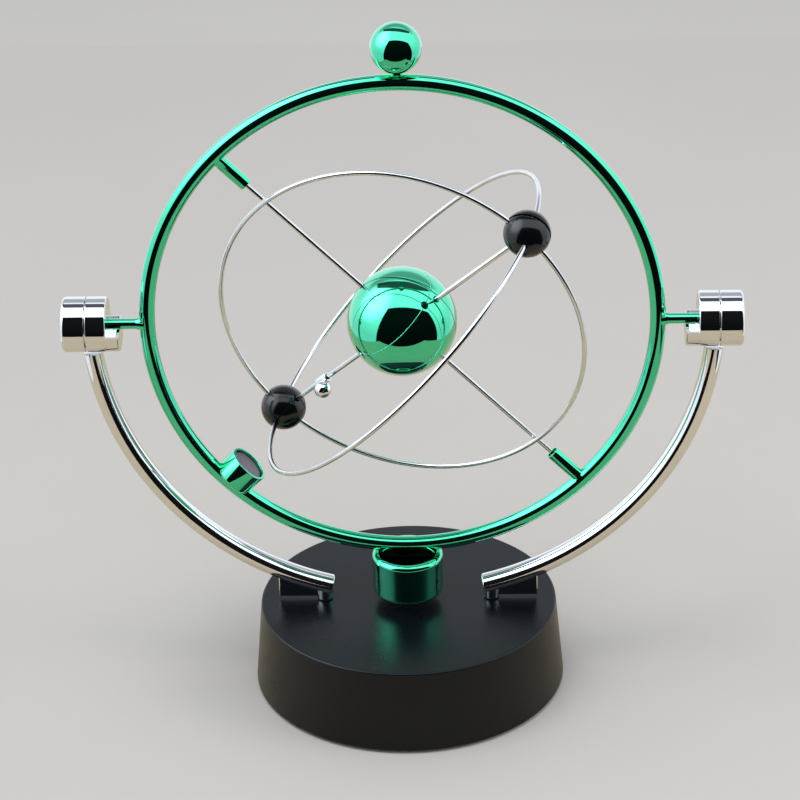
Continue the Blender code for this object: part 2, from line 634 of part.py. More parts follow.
def make_arm(side, sign):
    """A curved plated arm with its foot: a screw boss, a thin rib and a locating peg."""
    points = []
    for step in range(ARM_STEPS + 1):
        angle = ARM_LOW_ANGLE + (ARM_HIGH_ANGLE - ARM_LOW_ANGLE) * step / ARM_STEPS
        points.append((ARM_ARC_RADIUS * sin(angle), 0, PIVOT_HEIGHT - ARM_ARC_RADIUS * cos(angle)))
    arm = wire(f"arm_{side}", points, ARM_RADIUS, CHROME, roundness=2)
    arm.data.transform(Matrix.Diagonal((1, ARM_WIDEN, 1, 1)))
    arm.rotation_euler = (0, 0, 0 if sign > 0 else pi)
    low = BASE_HEIGHT + TOUCH
    boss = rod(f"arm_boss_{side}", ARM_BOSS_RADIUS, low, arm_height(ARM_BOSS_X), None, 20)
    boss.location = (ARM_BOSS_X, 0, 0)
    inner, outer = ARM_BOSS_X + 1.0 * MM, ARM_RIB_OUT
    foot = low + ARM_RIB_LIFT
    ribs = [(inner, foot), (outer, foot), (outer, arm_height(outer)), (inner, arm_height(inner))]
    rib = outline(f"arm_rib_{side}", ribs, ARM_RIB_THICK, None)
    peg = rod(f"arm_peg_{side}", ARM_PEG_RADIUS, CEILING_Z + TOUCH, foot + 1 * MM, None, 10, location=(ARM_PEG_X, 0, 0))
    spigot_top = ARM_TOP_Z + SPIGOT_REACH
    spigot = rod(f"arm_spigot_{side}", SPIGOT_RADIUS, ARM_TOP_Z - 2.5 * MM, spigot_top, None, 14)
    spigot.location = (SPIGOT_X, 0, 0)
    hole = rod(f"arm_boss_hole_{side}", POST_HOLE, low - 1 * MM, ARM_SCREW_TOP + TOUCH, None, 12)
    hole.location = (ARM_BOSS_X, 0, 0)
    for tool in (boss, rib, peg, spigot, hole):
        tool.parent = arm
    return cut(join(arm, boss, rib, peg, spigot), hole)


def make_pivot(side, sign):
    """A pivot: housing with its half-round tray, bush and outer cap, turned about the ring's axis."""
    frame = add_empty(f"pivot_{side}", (0, 0, PIVOT_HEIGHT), (0, 90 * sign, 0))
    inner = HOUSING_RADIUS - HOUSING_WALL
    floor = HOUSING_INNER_X + HOUSING_WALL
    seam = HOUSING_SEAM_X - SEAM_HALF
    seat = BUSH_RADIUS + TOUCH
    seat_top = floor + TOUCH + BUSH_LENGTH - 1.0 * MM
    bore = PIN_RADIUS + TOUCH
    edge = 0.4 * MM
    profile = [(inner, seam), (HOUSING_RADIUS, seam), (HOUSING_RADIUS, HOUSING_INNER_X + edge)]
    profile += [(HOUSING_RADIUS - edge, HOUSING_INNER_X), (bore, HOUSING_INNER_X), (bore, floor), (seat, floor)]
    profile += [(seat, seat_top), (seat + BUSH_SEAT_WALL, seat_top), (seat + BUSH_SEAT_WALL, floor), (inner, floor)]
    housing = turned(f"pivot_housing_{side}", profile, CHROME, 28, parent=frame)
    outer = HOUSING_RADIUS - 0.1 * MM
    back = HOUSING_INNER_X + 0.3 * MM
    profile = [(0, TRAY_X + TRAY_WALL), (outer - TRAY_WALL, TRAY_X + TRAY_WALL), (outer - TRAY_WALL, back)]
    profile += [(outer, back), (outer, TRAY_X), (0, TRAY_X)]
    tray = turned(f"tray_{side}", profile, None, 28, parent=frame)
    # The frame's own X axis points down on the right and up on the left.
    reach = 2 * HOUSING_RADIUS
    upward = sorted((sign * TRAY_RIM_DROP, -sign * reach))
    lid = block(f"tray_lid_{side}", (upward[0], -reach, TRAY_X - reach), (upward[1], reach, HOUSING_SEAM_X), None)
    notch = rod(f"tray_notch_{side}", PIN_RADIUS + 2 * TOUCH, TRAY_X - 1 * MM, floor, None, 16, parent=frame)
    lid.parent = frame
    join(housing, cut(tray, lid, notch))
    cut(housing, rod(f"housing_bore_{side}", bore, TRAY_X, floor + 1 * MM, None, 16, parent=frame))
    hole = rod(f"spigot_hole_{side}", SPIGOT_RADIUS + TOUCH, -HOUSING_RADIUS - 1 * MM, -HOUSING_RADIUS + 3 * MM, None, 14)
    hole.location = (sign * SPIGOT_X, 0, PIVOT_HEIGHT)
    cut(housing, hole)
    make_cap(side, frame)
    bush_low = floor + TOUCH
    pipe(
        f"pivot_bush_{side}",
        BUSH_RADIUS,
        JOURNAL_RADIUS + RUNNING,
        bush_low,
        bush_low + BUSH_LENGTH,
        BRASS,
        16,
        parent=frame,
    )
    return housing


def make_cap(side, frame):
    inner = HOUSING_RADIUS - HOUSING_WALL - TOUCH
    start = HOUSING_SEAM_X + SEAM_HALF
    lip = start - CAP_LIP
    corner = arc((HOUSING_RADIUS - CAP_EDGE, CAP_OUTER_X - CAP_EDGE), CAP_EDGE, 90, 0, 3)
    profile = [(0, CAP_OUTER_X)] + corner + [(HOUSING_RADIUS, start), (inner, start), (inner, lip)]
    profile += [(inner - 1.0 * MM, lip), (inner - 1.0 * MM, CAP_OUTER_X - HOUSING_WALL), (0, CAP_OUTER_X - HOUSING_WALL)]
    return turned(f"pivot_cap_{side}", profile, CHROME, 28, parent=frame)


# ---------------------------------------------------------------- swinging ring


def make_outer_ring(swing, axle_frame):
    """The plated ring with its pins, axle sockets, magnet web and side cup in one moulding."""
    ring = hoop("outer_ring", RING_RADIUS, RING_TUBE, GREEN_CHROME, 60, 10, parent=swing, turn=(90, 0, 0))
    for side, sign in SIDES:
        root = RING_RADIUS + 1.0 * MM
        shoulder = HOUSING_INNER_X + 0.8 * MM
        profile = [(0, JOURNAL_END_X), (JOURNAL_RADIUS, JOURNAL_END_X), (JOURNAL_RADIUS, shoulder)]
        profile += [(PIN_RADIUS, shoulder), (PIN_RADIUS, RING_OUTER + 1.2 * MM), (PIN_RADIUS + 0.6 * MM, root), (0, root)]
        join(ring, turned(f"pin_{side}", profile, None, 16, parent=swing, turn=(0, 90 * sign, 0)))
    for number, turn in ((1, -90), (2, 90)):
        # The socket opens towards the centre, so heights run outwards with a minus sign.
        root = RING_RADIUS - 1.4 * MM
        profile = [(0, -SOCKET_FACE - SOCKET_DEPTH), (SOCKET_BORE, -SOCKET_FACE - SOCKET_DEPTH)]
        profile += [(SOCKET_BORE, -SOCKET_FACE), (SOCKET_RADIUS, -SOCKET_FACE), (SOCKET_RADIUS, -root), (0, -root)]
        join(ring, turned(f"socket_{number}", profile, None, 16, parent=axle_frame, turn=(0, turn, 0)))
    root = RING_RADIUS - 1.2 * MM
    deep = SIDE_CUP_FACE + SIDE_CUP_DEPTH
    bore = SIDE_CUP_RADIUS - SIDE_CUP_WALL
    profile = [(0, -deep), (bore, -deep), (bore, -SIDE_CUP_FACE), (SIDE_CUP_RADIUS, -SIDE_CUP_FACE)]
    profile += [(SIDE_CUP_RADIUS, -root + 1.2 * MM), (SIDE_CUP_RADIUS - 1.0 * MM, -root), (0, -root)]
    join(ring, turned("side_cup", profile, None, 20, parent=axle_frame))
    half = sqrt((CUP_RADIUS - CUP_WALL) ** 2 - (WEB_WIDTH / 2) ** 2) - TOUCH
    low = MAGNET_LOW + RING_MAGNET_THICK + TOUCH
    web = block("magnet_web", (-half, -WEB_WIDTH / 2, low), (half, WEB_WIDTH / 2, CUP_TOP + WEB_HEAD), None, parent=swing)
    plug_hole = rod("plug_hole", PLUG_RADIUS + TOUCH, RING_OUTER - PLUG_LENGTH - TOUCH, RING_OUTER + 2 * MM, None, 12)
    plug_hole.parent = swing
    cut(join(ring, web), plug_hole)
    return ring


def make_ring_fittings(swing, axle_frame):
    """What is fixed to the ring: top ball, magnet cup, magnets and the axle's two bushes."""
    middle = RING_OUTER + TOP_BALL_LIFT + TOP_BALL_RADIUS
    waist = asin(NECK_RADIUS / TOP_BALL_RADIUS) * 180 / pi
    profile = arc((0, middle), TOP_BALL_RADIUS, 90, -90 + waist, 10)
    profile[0] = (0, middle + TOP_BALL_RADIUS)
    seat = RING_OUTER + TOUCH
    profile += [(NECK_RADIUS, seat + 0.3 * MM), (NECK_RADIUS + 0.4 * MM, seat), (PLUG_RADIUS, seat)]
    profile += [(PLUG_RADIUS, RING_OUTER - PLUG_LENGTH), (0, RING_OUTER - PLUG_LENGTH)]
    turned("top_ball", profile, GREEN_CHROME, 20, parent=swing)

    bore = CUP_RADIUS - CUP_WALL
    foot = arc((CUP_RADIUS - CUP_EDGE, CUP_BOTTOM + CUP_EDGE), CUP_EDGE, 0, -90, 4)
    lip = arc((CUP_RADIUS - CUP_LIP, CUP_TOP - CUP_LIP), CUP_LIP, 90, 0, 4)
    profile = [(0, CUP_BOTTOM + CUP_FLOOR), (bore, CUP_BOTTOM + CUP_FLOOR), (bore, CUP_TOP)]
    profile += lip + foot + [(0, CUP_BOTTOM)]
    turned("magnet_cup", profile, GREEN_CHROME, 32, parent=swing)
    rod("ring_magnet", bore - TOUCH, MAGNET_LOW, MAGNET_LOW + RING_MAGNET_THICK, MAGNET, 24, parent=swing)

    high = -SIDE_CUP_FACE - SIDE_MAGNET_SINK
    radius = SIDE_CUP_RADIUS - SIDE_CUP_WALL - TOUCH
    rod("side_magnet", radius, high - SIDE_MAGNET_THICK, high, MAGNET, 20, parent=axle_frame)
    for name, turn in (("axle_bush_upper", -90), ("axle_bush_lower", 90)):
        start = -SOCKET_FACE - AXLE_BUSH_SINK
        size = (SOCKET_BORE - TOUCH, AXLE_RADIUS + RUNNING, start - AXLE_BUSH_LENGTH, start)
        pipe(name, *size, BRASS, 14, parent=axle_frame, turn=(0, turn, 0))


# ---------------------------------------------------------------- rotor


def make_half_ball(name, radius, wall, split, material, sides, **where):
    """Half a hollow ball on its own +Z side, cut back by half the split."""
    start = asin(split / radius) * 180 / pi
    inner = radius - wall
    inner_start = asin(split / inner) * 180 / pi
    steps = max(5, sides // 4)
    outside = arc((0, 0), radius, 90, start, steps)
    inside = arc((0, 0), inner, inner_start, 90, steps - 1)
    outside[0] = (0, radius)
    inside[-1] = (0, inner)
    return turned(name, outside + inside, material, sides, **where)


def make_rotor(rotor):
    """Axle, centre ball, rod, wire orbits, weighted balls and balance bead.

    In the rotor's own frame X is the axle, Z the rod and Y the back.
    """
    rod("axle", AXLE_RADIUS, -AXLE_HALF, AXLE_HALF, STEEL_WIRE, 14, tip=AXLE_TIP, parent=rotor, turn=(0, 90, 0))
    rod_half = ORBIT_A_RADIUS - WIRE_RADIUS - TOUCH
    rod("cross_rod", ROD_RADIUS, -rod_half, rod_half, STEEL_WIRE, 12, parent=rotor, location=(0, ROD_Y, 0))
    orbit_a = {"parent": rotor, "location": (0, ROD_Y, 0), "turn": (90, 0, 0)}
    orbit_b = {"parent": rotor, "turn": (0, 90, 0)}
    hoop("orbit_ring_a", ORBIT_A_RADIUS, WIRE_RADIUS, STEEL_WIRE, 56, 6, **orbit_a)
    hoop("orbit_ring_b", ORBIT_B_RADIUS, WIRE_RADIUS, STEEL_WIRE, 56, 6, **orbit_b)

    reach = 1.5 * CENTRE_BALL_RADIUS
    axle_way = rod("axle_way", AXLE_RADIUS + TOUCH, -reach, reach, None, 14, parent=rotor, turn=(0, 90, 0))
    rod_way = rod("rod_way", ROD_RADIUS + TOUCH, -rod_half - TOUCH, rod_half + TOUCH, None, 12, parent=rotor)
    rod_way.location = (0, ROD_Y, 0)
    way_a = hoop("orbit_a_way", ORBIT_A_RADIUS, WIRE_RADIUS + TOUCH, None, 56, 6, **orbit_a)
    way_b = hoop("orbit_b_way", ORBIT_B_RADIUS, WIRE_RADIUS + TOUCH, None, 56, 6, **orbit_b)

    for name, turn, wall in (("back", -90, CENTRE_BALL_WALL_BACK), ("front", 90, CENTRE_BALL_WALL_FRONT)):
        size = (CENTRE_BALL_RADIUS, wall, SEAM_HALF)
        half = make_half_ball(f"centre_ball_{name}", *size, GREEN_CHROME, 24, parent=rotor, turn=(turn, 0, 0))
        cut(half, axle_way, rod_way)

    weights = (
        ("upper", 1, WEIGHT_SPLIT_UPPER, WEIGHT_WALL_UPPER, ROTOR_MAGNET_UPPER),
        ("lower", -1, WEIGHT_SPLIT_LOWER, WEIGHT_WALL_LOWER, ROTOR_MAGNET_LOWER),
    )
    for name, sign, split, wall, magnet in weights:
        centre = (0, WEIGHT_Y, sign * WEIGHT_CENTRE)
        for half_name, turn in (("back", -90), ("front", 90)):
            where = {"parent": rotor, "location": centre, "turn": (turn, 0, 0)}
            size = (WEIGHT_RADIUS, wall, split / 2)
            half = make_half_ball(f"weight_{name}_{half_name}", *size, BLACK_GLOSS, 16, **where)
            cut(half, way_a, way_b, rod_way)
        start = ORBIT_B_RADIUS + WIRE_RADIUS + TOUCH
        where = {"parent": rotor, "location": (0, WEIGHT_Y, 0), "turn": (0 if sign > 0 else 180, 0, 0)}
        rod(f"rotor_magnet_{name}", ROTOR_MAGNET_RADIUS, start, start + magnet, MAGNET, 16, **where)
    make_balance_bead(rotor)


def make_balance_bead(rotor):
    """A steel bead on a sleeve that is slid along the rod to balance the rotor."""
    sleeve_radius = ROD_RADIUS + TOUCH + SLEEVE_WALL
    half = SLEEVE_LENGTH / 2
    place_at = (0, ROD_Y, BEAD_Z)
    bead = pipe("balance_bead", sleeve_radius, ROD_RADIUS + TOUCH, -half, half, CHROME, 14, parent=rotor, location=place_at)
    out = sleeve_radius + BEAD_RADIUS - 0.3 * MM
    lean = radians(BEAD_LEAN)
    ball = turned("bead_ball", [(0, BEAD_RADIUS)] + arc((0, 0), BEAD_RADIUS, 70, -70, 8) + [(0, -BEAD_RADIUS)], None, 16)
    ball.parent = rotor
    ball.location = (out * sin(lean), ROD_Y - out * cos(lean), BEAD_Z)
    clear = rod("bead_way", ROD_RADIUS + TOUCH, -half - 1 * MM, half + 1 * MM, None, 14, parent=rotor, location=place_at)
    return cut(join(bead, ball), clear)


# ---------------------------------------------------------------- assembly


def build():
    make_base_shell()
    make_base_plate()
    make_battery_door()
    make_base_fixings()
    make_power()
    make_drive()
    for side, sign in SIDES:
        make_arm(side, sign)
        make_pivot(side, sign)
    swing = add_empty("swing_axis", (0, 0, PIVOT_HEIGHT))
    axle_frame = add_empty("axle_frame", (0, 0, 0), (0, AXLE_ANGLE, 0), swing)
    make_outer_ring(swing, axle_frame)
    make_ring_fittings(swing, axle_frame)
    rotor = add_empty("rotor_axis", (0, 0, 0), (ROTOR_TURN, 0, 0), axle_frame)
    make_rotor(rotor)


build()
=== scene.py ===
"""Looks of the kinetic orbit desk toy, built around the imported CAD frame."""

import json
from math import asin, cos, degrees, pi, radians, sin, sqrt, tan

import bmesh
import bpy
from mathutils import Matrix, Vector


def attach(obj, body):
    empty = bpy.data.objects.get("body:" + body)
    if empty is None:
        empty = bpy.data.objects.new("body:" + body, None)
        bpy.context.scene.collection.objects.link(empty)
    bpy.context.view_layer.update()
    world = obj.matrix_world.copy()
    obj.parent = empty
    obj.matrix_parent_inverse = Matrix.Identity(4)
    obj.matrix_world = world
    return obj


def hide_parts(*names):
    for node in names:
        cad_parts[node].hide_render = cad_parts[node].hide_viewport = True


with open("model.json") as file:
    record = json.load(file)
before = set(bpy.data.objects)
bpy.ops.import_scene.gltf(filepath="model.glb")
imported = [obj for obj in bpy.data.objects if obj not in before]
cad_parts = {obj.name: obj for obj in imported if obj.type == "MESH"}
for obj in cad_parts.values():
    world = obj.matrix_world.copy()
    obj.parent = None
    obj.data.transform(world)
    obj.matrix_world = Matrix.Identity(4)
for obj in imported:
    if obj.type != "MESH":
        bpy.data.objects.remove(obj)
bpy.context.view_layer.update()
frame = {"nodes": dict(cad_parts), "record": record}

# ---------------------------------------------------------------- sizes, in metres, as in the CAD

MM = 0.001
GAP = 0.3 * MM
ON_AXIS = 1e-7  # a radius below this is a point on the axis
OVERSHOOT = 1.0 * MM  # how far a cutting tool runs past what it cuts

FLOOR_GAP = 1.0 * MM
BASE_BOTTOM_RADIUS = 52.0 * MM
BASE_TOP_RADIUS = 49.5 * MM
BASE_HEIGHT = 29.0 * MM
BASE_WALL = 2.0 * MM
BASE_TOP_WALL = 2.2 * MM
BASE_EDGE = 0.7 * MM
BASE_FOOT_EDGE = 0.4 * MM
BASE_INNER_EDGE = 0.3 * MM
BASE_INNER_CORNER = 0.8 * MM

PIVOT_HEIGHT = 132.0 * MM
ARM_ARC_RADIUS = 101.0 * MM
ARM_RADIUS = 3.1 * MM
ARM_HALF_WIDTH = 3.72 * MM
ARM_FOOT_X = 25.2 * MM
ARM_BOSS_X = 28.0 * MM
ARM_BOSS_RADIUS = 2.7 * MM
ARM_BOSS_EDGE = 0.3 * MM
ARM_RIB_OUT = 43.4 * MM
ARM_RIB_THICK = 2.6 * MM
ARM_RIB_LIFT = 1.0 * MM
ARM_RIB_SINK = 1.0 * MM
ARM_RIB_EDGE = 0.35 * MM
ARM_TOP_Z = 122.7 * MM
ARM_TOP_INSET = 0.5 * MM
ARM_END_EDGE = 0.6 * MM

HOUSING_RADIUS = 9.0 * MM
HOUSING_WALL = 1.4 * MM
HOUSING_INNER_X = 95.2 * MM
HOUSING_SEAM_X = 102.0 * MM
HOUSING_EDGE = 0.6 * MM
HOUSING_BORE_EDGE = 0.15 * MM
HOUSING_CORNER = 0.3 * MM
SEAM_HALF = 0.15 * MM
SEAM_EDGE = 0.25 * MM
SEAM_INNER_EDGE = 0.1 * MM
CAP_OUTER_X = 110.0 * MM
CAP_CROWN = 0.35 * MM
CAP_EDGE = 1.1 * MM
CAP_LIP = 1.0 * MM
TRAY_X = 91.2 * MM
TRAY_WALL = 1.0 * MM
TRAY_RIM_DROP = 1.0 * MM
TRAY_EDGE = 0.5 * MM
TRAY_INSET = 0.1 * MM
TRAY_ROOT = 0.3 * MM

RING_RADIUS = 82.4 * MM
RING_TUBE = 2.6 * MM
RING_OUTER = RING_RADIUS + RING_TUBE
PIN_RADIUS = 1.7 * MM
PIN_ROOT_X = RING_RADIUS + 1.0 * MM
PIN_SHOULDER_X = HOUSING_INNER_X + 0.8 * MM
PIN_FLARE_X = RING_OUTER + 1.2 * MM
PIN_FLARE = 0.8 * MM
PIN_EDGE = 0.2 * MM
JOURNAL_RADIUS = 1.0 * MM
JOURNAL_END_X = 100.2 * MM
TOP_BALL_RADIUS = 8.15 * MM
TOP_BALL_LIFT = 0.65 * MM
NECK_RADIUS = 1.95 * MM
NECK_SINK = 0.02 * MM
NECK_FLARE = ((0.0, 0.35), (0.35, 0.1), (0.5, 0.0))  # out and up from the neck's foot, in millimetres
CUP_RADIUS = 11.9 * MM
CUP_WALL = 2.2 * MM
CUP_FLOOR = 1.5 * MM
CUP_TOP = -RING_OUTER - 0.1 * MM
CUP_HEIGHT = 14.8 * MM
CUP_BOTTOM = CUP_TOP - CUP_HEIGHT
CUP_EDGE = 1.8 * MM
CUP_LIP = 1.7 * MM
CUP_BORE_EDGE = 0.35 * MM
CUP_BORE_CORNER = 0.3 * MM
WEB_WIDTH = 5.2 * MM
WEB_HEAD = 2.6 * MM
MAGNET_TOP = CUP_BOTTOM + CUP_FLOOR + GAP + 5.0 * MM

SIDE_CUP_RADIUS = 6.8 * MM
SIDE_CUP_WALL = 0.9 * MM
SIDE_CUP_FACE = 72.8 * MM
SIDE_CUP_DEPTH = 5.2 * MM
SIDE_CUP_ROOT = RING_RADIUS - 1.2 * MM
SIDE_CUP_EDGE = 0.35 * MM
SIDE_CUP_BORE_EDGE = 0.25 * MM
SIDE_CUP_FLARE = 1.2 * MM
SIDE_MAGNET_THICK = 4.0 * MM
SIDE_MAGNET_SINK = 0.9 * MM
SIDE_MAGNET_EDGE = 0.3 * MM
SOCKET_RADIUS = 2.15 * MM
SOCKET_WALL = 0.4 * MM
SOCKET_FACE = 68.4 * MM
SOCKET_DEPTH = 5.6 * MM
SOCKET_ROOT = RING_RADIUS - 1.4 * MM
SOCKET_EDGE = 0.2 * MM
SOCKET_BORE_EDGE = 0.1 * MM

AXLE_ANGLE = 45.0
ROTOR_TURN = 20.0
AXLE_RADIUS = 0.75 * MM
AXLE_HALF = 73.0 * MM
AXLE_EDGE = 0.35 * MM
CENTRE_BALL_RADIUS = 17.8 * MM
CENTRE_BALL_WALL = 1.2 * MM
ROD_RADIUS = 0.85 * MM
ROD_EDGE = 0.1 * MM
WIRE_RADIUS = 0.8 * MM
ORBIT_A_RADIUS = 60.6 * MM
ORBIT_B_RADIUS = 62.6 * MM
ROD_Y = -(AXLE_RADIUS + ROD_RADIUS + GAP)
ROD_HALF = ORBIT_A_RADIUS - WIRE_RADIUS - GAP
WEIGHT_RADIUS = 7.5 * MM
WEIGHT_WALL = 0.9 * MM
WEIGHT_CENTRE = 61.0 * MM
WEIGHT_Y = -1.3 * MM
WEIGHT_SPLITS = {"upper": 1.0 * MM, "lower": 0.4 * MM}
RIM_EASE = 0.05 * MM
RIM_STEP = 0.6  # degrees from a half ball's eased rim to its first full ring
BEAD_RADIUS = 2.8 * MM
BEAD_SINK = 0.3 * MM
BEAD_Z = -39.6 * MM
BEAD_LEAN = 18.0
SLEEVE_WALL = 0.45 * MM
SLEEVE_LENGTH = 4.6 * MM
SLEEVE_EDGE = 0.2 * MM

SIDES = (("left", -1), ("right", 1))
HALVES = (("back", -90), ("front", 90))  # turns that point a half ball's crown to the back or front

# Camera: place in metres, angles in degrees, lens in millimetres on a full-frame sensor
CAMERA_PLACE = Vector((0.03023, -0.96, 0.59196))
CAMERA_YAW = -1.88
CAMERA_PITCH = -26.96
CAMERA_ROLL = -1.388
CAMERA_LENS = 148.5

# Studio
FLOOR_HALF = 6.0
FLOOR_TONE = (0.56, 0.53, 0.49)
TABLE_TONE = (0.54, 0.45, 0.31)
TABLE_LIFT = 0.2 * MM
TABLE_REACH = 0.26  # half width of the table the plating mirrors
TABLE_FRONT = -0.25
TABLE_BACK = 0.60
TENT_TINT = (0.91, 0.97, 1.06)
TENT_LIGHT = 0.75  # brightness of the tent as a lamp
TENT_MIRRORED = 1.65  # brightness of the tent as the plating mirrors it
OPENING_TURN = 12.0  # degrees the tent's dark opening is turned to the right of the front
OPENING_HALF = 62.0  # half its width at table height, in degrees
OPENING_TAPER = 0.2  # degrees it narrows for each degree of height
OPENING_TOP = 1.38  # slope of its upper edge
OPENING_BLUR = 0.03  # half the slope that the upper edge fades over
OPENING_DARK = 0.995
PANEL_SHIFT = 0.12  # the roof panel's middle, to the right, per unit of height
PANEL_HALF = 0.95  # half its width
PANEL_NEAR, PANEL_FAR = 0.08, 0.48  # its front and back edges
PANEL_BOW = 0.5  # how much its edges bend back towards its ends
PANEL_BLUR = 0.06
PANEL_DARK = 0.94
SIDES_LOW = 0.55  # brightness of the side walls' foot
BACK_LOW, BACK_HIGH = 0.65, 0.28  # brightness of the back wall's foot and upper part
GLOW_FROM = (-0.77, -0.04, 0.64)  # where the tent is brightest
GLOW_GAIN = 2.6
LAMP_TARGET = Vector((0, 0, 0.1))
LAMPS = (  # name, place, size, power in watts, tint
    ("softbox_top", (-0.35, -0.25, 1.5), 0.9, 9.0, (1.0, 1.0, 1.0)),
    ("softbox_right", (1.2, -0.3, 0.9), 0.8, 5.0, (1.0, 0.98, 0.95)),
)

NOISE_SPAN = (0.3, 0.7)  # the part of a noise's range that holds most of its values


# ---------------------------------------------------------------- frames of the moving pieces


def turn(axis, angle):
    """A turn about an axis through the origin, in degrees."""
    return Matrix.Rotation(radians(angle), 4, axis)


AT_PIVOT = Matrix.Translation((0, 0, PIVOT_HEIGHT))
AXLE_FRAME = AT_PIVOT @ turn("Y", AXLE_ANGLE)
ROTOR_FRAME = AXLE_FRAME @ turn("X", ROTOR_TURN)
ROD_FRAME = ROTOR_FRAME @ Matrix.Translation((0, ROD_Y, 0))
PLANE_A = ROD_FRAME @ turn("X", 90)
PLANE_B = ROTOR_FRAME @ turn("Y", 90)


# ---------------------------------------------------------------- mesh helpers


def soften(corners, steps=4):
    """A profile with each corner that carries a radius, (r, z, radius), rounded off."""
    points = []
    for i, corner in enumerate(corners):
        point = Vector(corner[:2])
        if len(corner) == 2:
            points.append(point)
            continue
        back = (Vector(corners[i - 1][:2]) - point).normalized()
        ahead = (Vector(corners[(i + 1) % len(corners)][:2]) - point).normalized()
        half = back.angle(ahead) / 2
        centre = point + (back + ahead).normalized() * corner[2] / sin(half)
        start = point + back * corner[2] / tan(half) - centre
        end = point + ahead * corner[2] / tan(half) - centre
        sweep = start.angle(end)
        for k in range(steps + 1):
            t = k / steps
            points.append(centre + (start * sin((1 - t) * sweep) + end * sin(t * sweep)) / sin(sweep))
    return points


def arc(centre, radius, start, end, count):
    """Points of an arc in a plane, from one angle to another in degrees."""
    steps = [radians(start + (end - start) * i / (count - 1)) for i in range(count)]
    return [(centre[0] + radius * cos(step), centre[1] + radius * sin(step)) for step in steps]


def to_object(name, cage, angle=40.0):
    """An object from a bmesh, smooth except at its real edges."""
    bmesh.ops.recalc_face_normals(cage, faces=cage.faces)
    mesh = bpy.data.meshes.new(name)
    cage.to_mesh(mesh)
    cage.free()
    mesh.shade_smooth()
    mesh.set_sharp_from_angle(angle=radians(angle))
    obj = bpy.data.objects.new(name, mesh)
    bpy.context.scene.collection.objects.link(obj)
    return obj


def grid_faces(cage, rows, close_rows):
    """Joins rings of vertices into a skin; a ring of one vertex is a pole."""
    pairs = list(zip(rows, rows[1:]))
    if close_rows:
        pairs.append((rows[-1], rows[0]))
    for first, second in pairs:
        count = max(len(first), len(second))
        for i in range(count):
            j = (i + 1) % count
            corners = [first[i % len(first)], first[j % len(first)]]
            corners += [second[j % len(second)], second[i % len(second)]]
            unique = list(dict.fromkeys(corners))
            if len(unique) > 2:
                cage.faces.new(unique)


def lathe(name, profile, sides=96, matrix=Matrix(), angle=40.0):
    """A solid of revolution about Z. The profile closes on itself or runs from axis to axis."""
    cage = bmesh.new()
    rows = []
    for radius, height in profile:
        if radius < ON_AXIS:
            rows.append([cage.verts.new(matrix @ Vector((0, 0, height)))])
            continue
        row = []
        for i in range(sides):
            step = 2 * pi * i / sides
            row.append(cage.verts.new(matrix @ Vector((radius * cos(step), radius * sin(step), height))))
        rows.append(row)
    grid_faces(cage, rows, close_rows=profile[0][0] > ON_AXIS)
    return to_object(name, cage, angle)


def hoop(name, radius, tube, segments, sides, matrix=Matrix()):
    """A closed ring of round bar about Z."""
    steps = [2 * pi * i / sides for i in range(sides)]
    profile = [(radius + tube * cos(step), tube * sin(step)) for step in steps]
    return lathe(name, profile, segments, matrix, 80.0)


def bar(name, radius, low, high, matrix=Matrix(), edge=0.0, sides=32):
    """A round bar along Z with its end edges rounded by edge."""
    if edge:
        profile = soften([(0, high), (radius, high, edge), (radius, low, edge), (0, low)], 3)
    else:
        profile = [(0, high), (radius, high), (radius, low), (0, low)]
    return lathe(name, profile, sides, matrix)


def box(name, low, high, matrix=Matrix()):
    """A block between two corners."""
    cage = bmesh.new()
    middle = (Vector(low) + Vector(high)) / 2
    size = Vector(high) - Vector(low)
    bmesh.ops.create_cube(cage, size=1.0)
    cage.transform(matrix @ Matrix.Translation(middle) @ Matrix.Diagonal((*size, 1)))
    return to_object(name, cage)


def carve(obj, tools, operation, angle=40.0):
    """Applies a Boolean with each tool in turn, and removes the tools."""
    for tool in tools:
        modifier = obj.modifiers.new(tool.name, "BOOLEAN")
        modifier.operation = operation
        modifier.solver = "MANIFOLD"
        modifier.object = tool
    baked = bpy.data.meshes.new_from_object(obj.evaluated_get(bpy.context.evaluated_depsgraph_get()))
    obj.modifiers.clear()
    obj.data = baked
    for tool in tools:
        bpy.data.objects.remove(tool, do_unlink=True)
    baked.shade_smooth()
    baked.set_sharp_from_angle(angle=radians(angle))
    return obj


def join(obj, *tools, angle=40.0):
    return carve(obj, tools, "UNION", angle)


def cut(obj, *tools, angle=40.0):
    return carve(obj, tools, "DIFFERENCE", angle)


def flatten_normals(obj):
    """Keeps large flat faces flat beside their rounded edges."""
    modifier = obj.modifiers.new("Flat faces", "WEIGHTED_NORMAL")
    modifier.keep_sharp = True
    return obj


def fit(obj, node, body, material):
    """Puts a finished piece in the place of a CAD node, on its body."""
    obj.data.materials.clear()
    obj.data.materials.append(material)
    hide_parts(node)
    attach(obj, body)
    return obj


# ---------------------------------------------------------------- materials


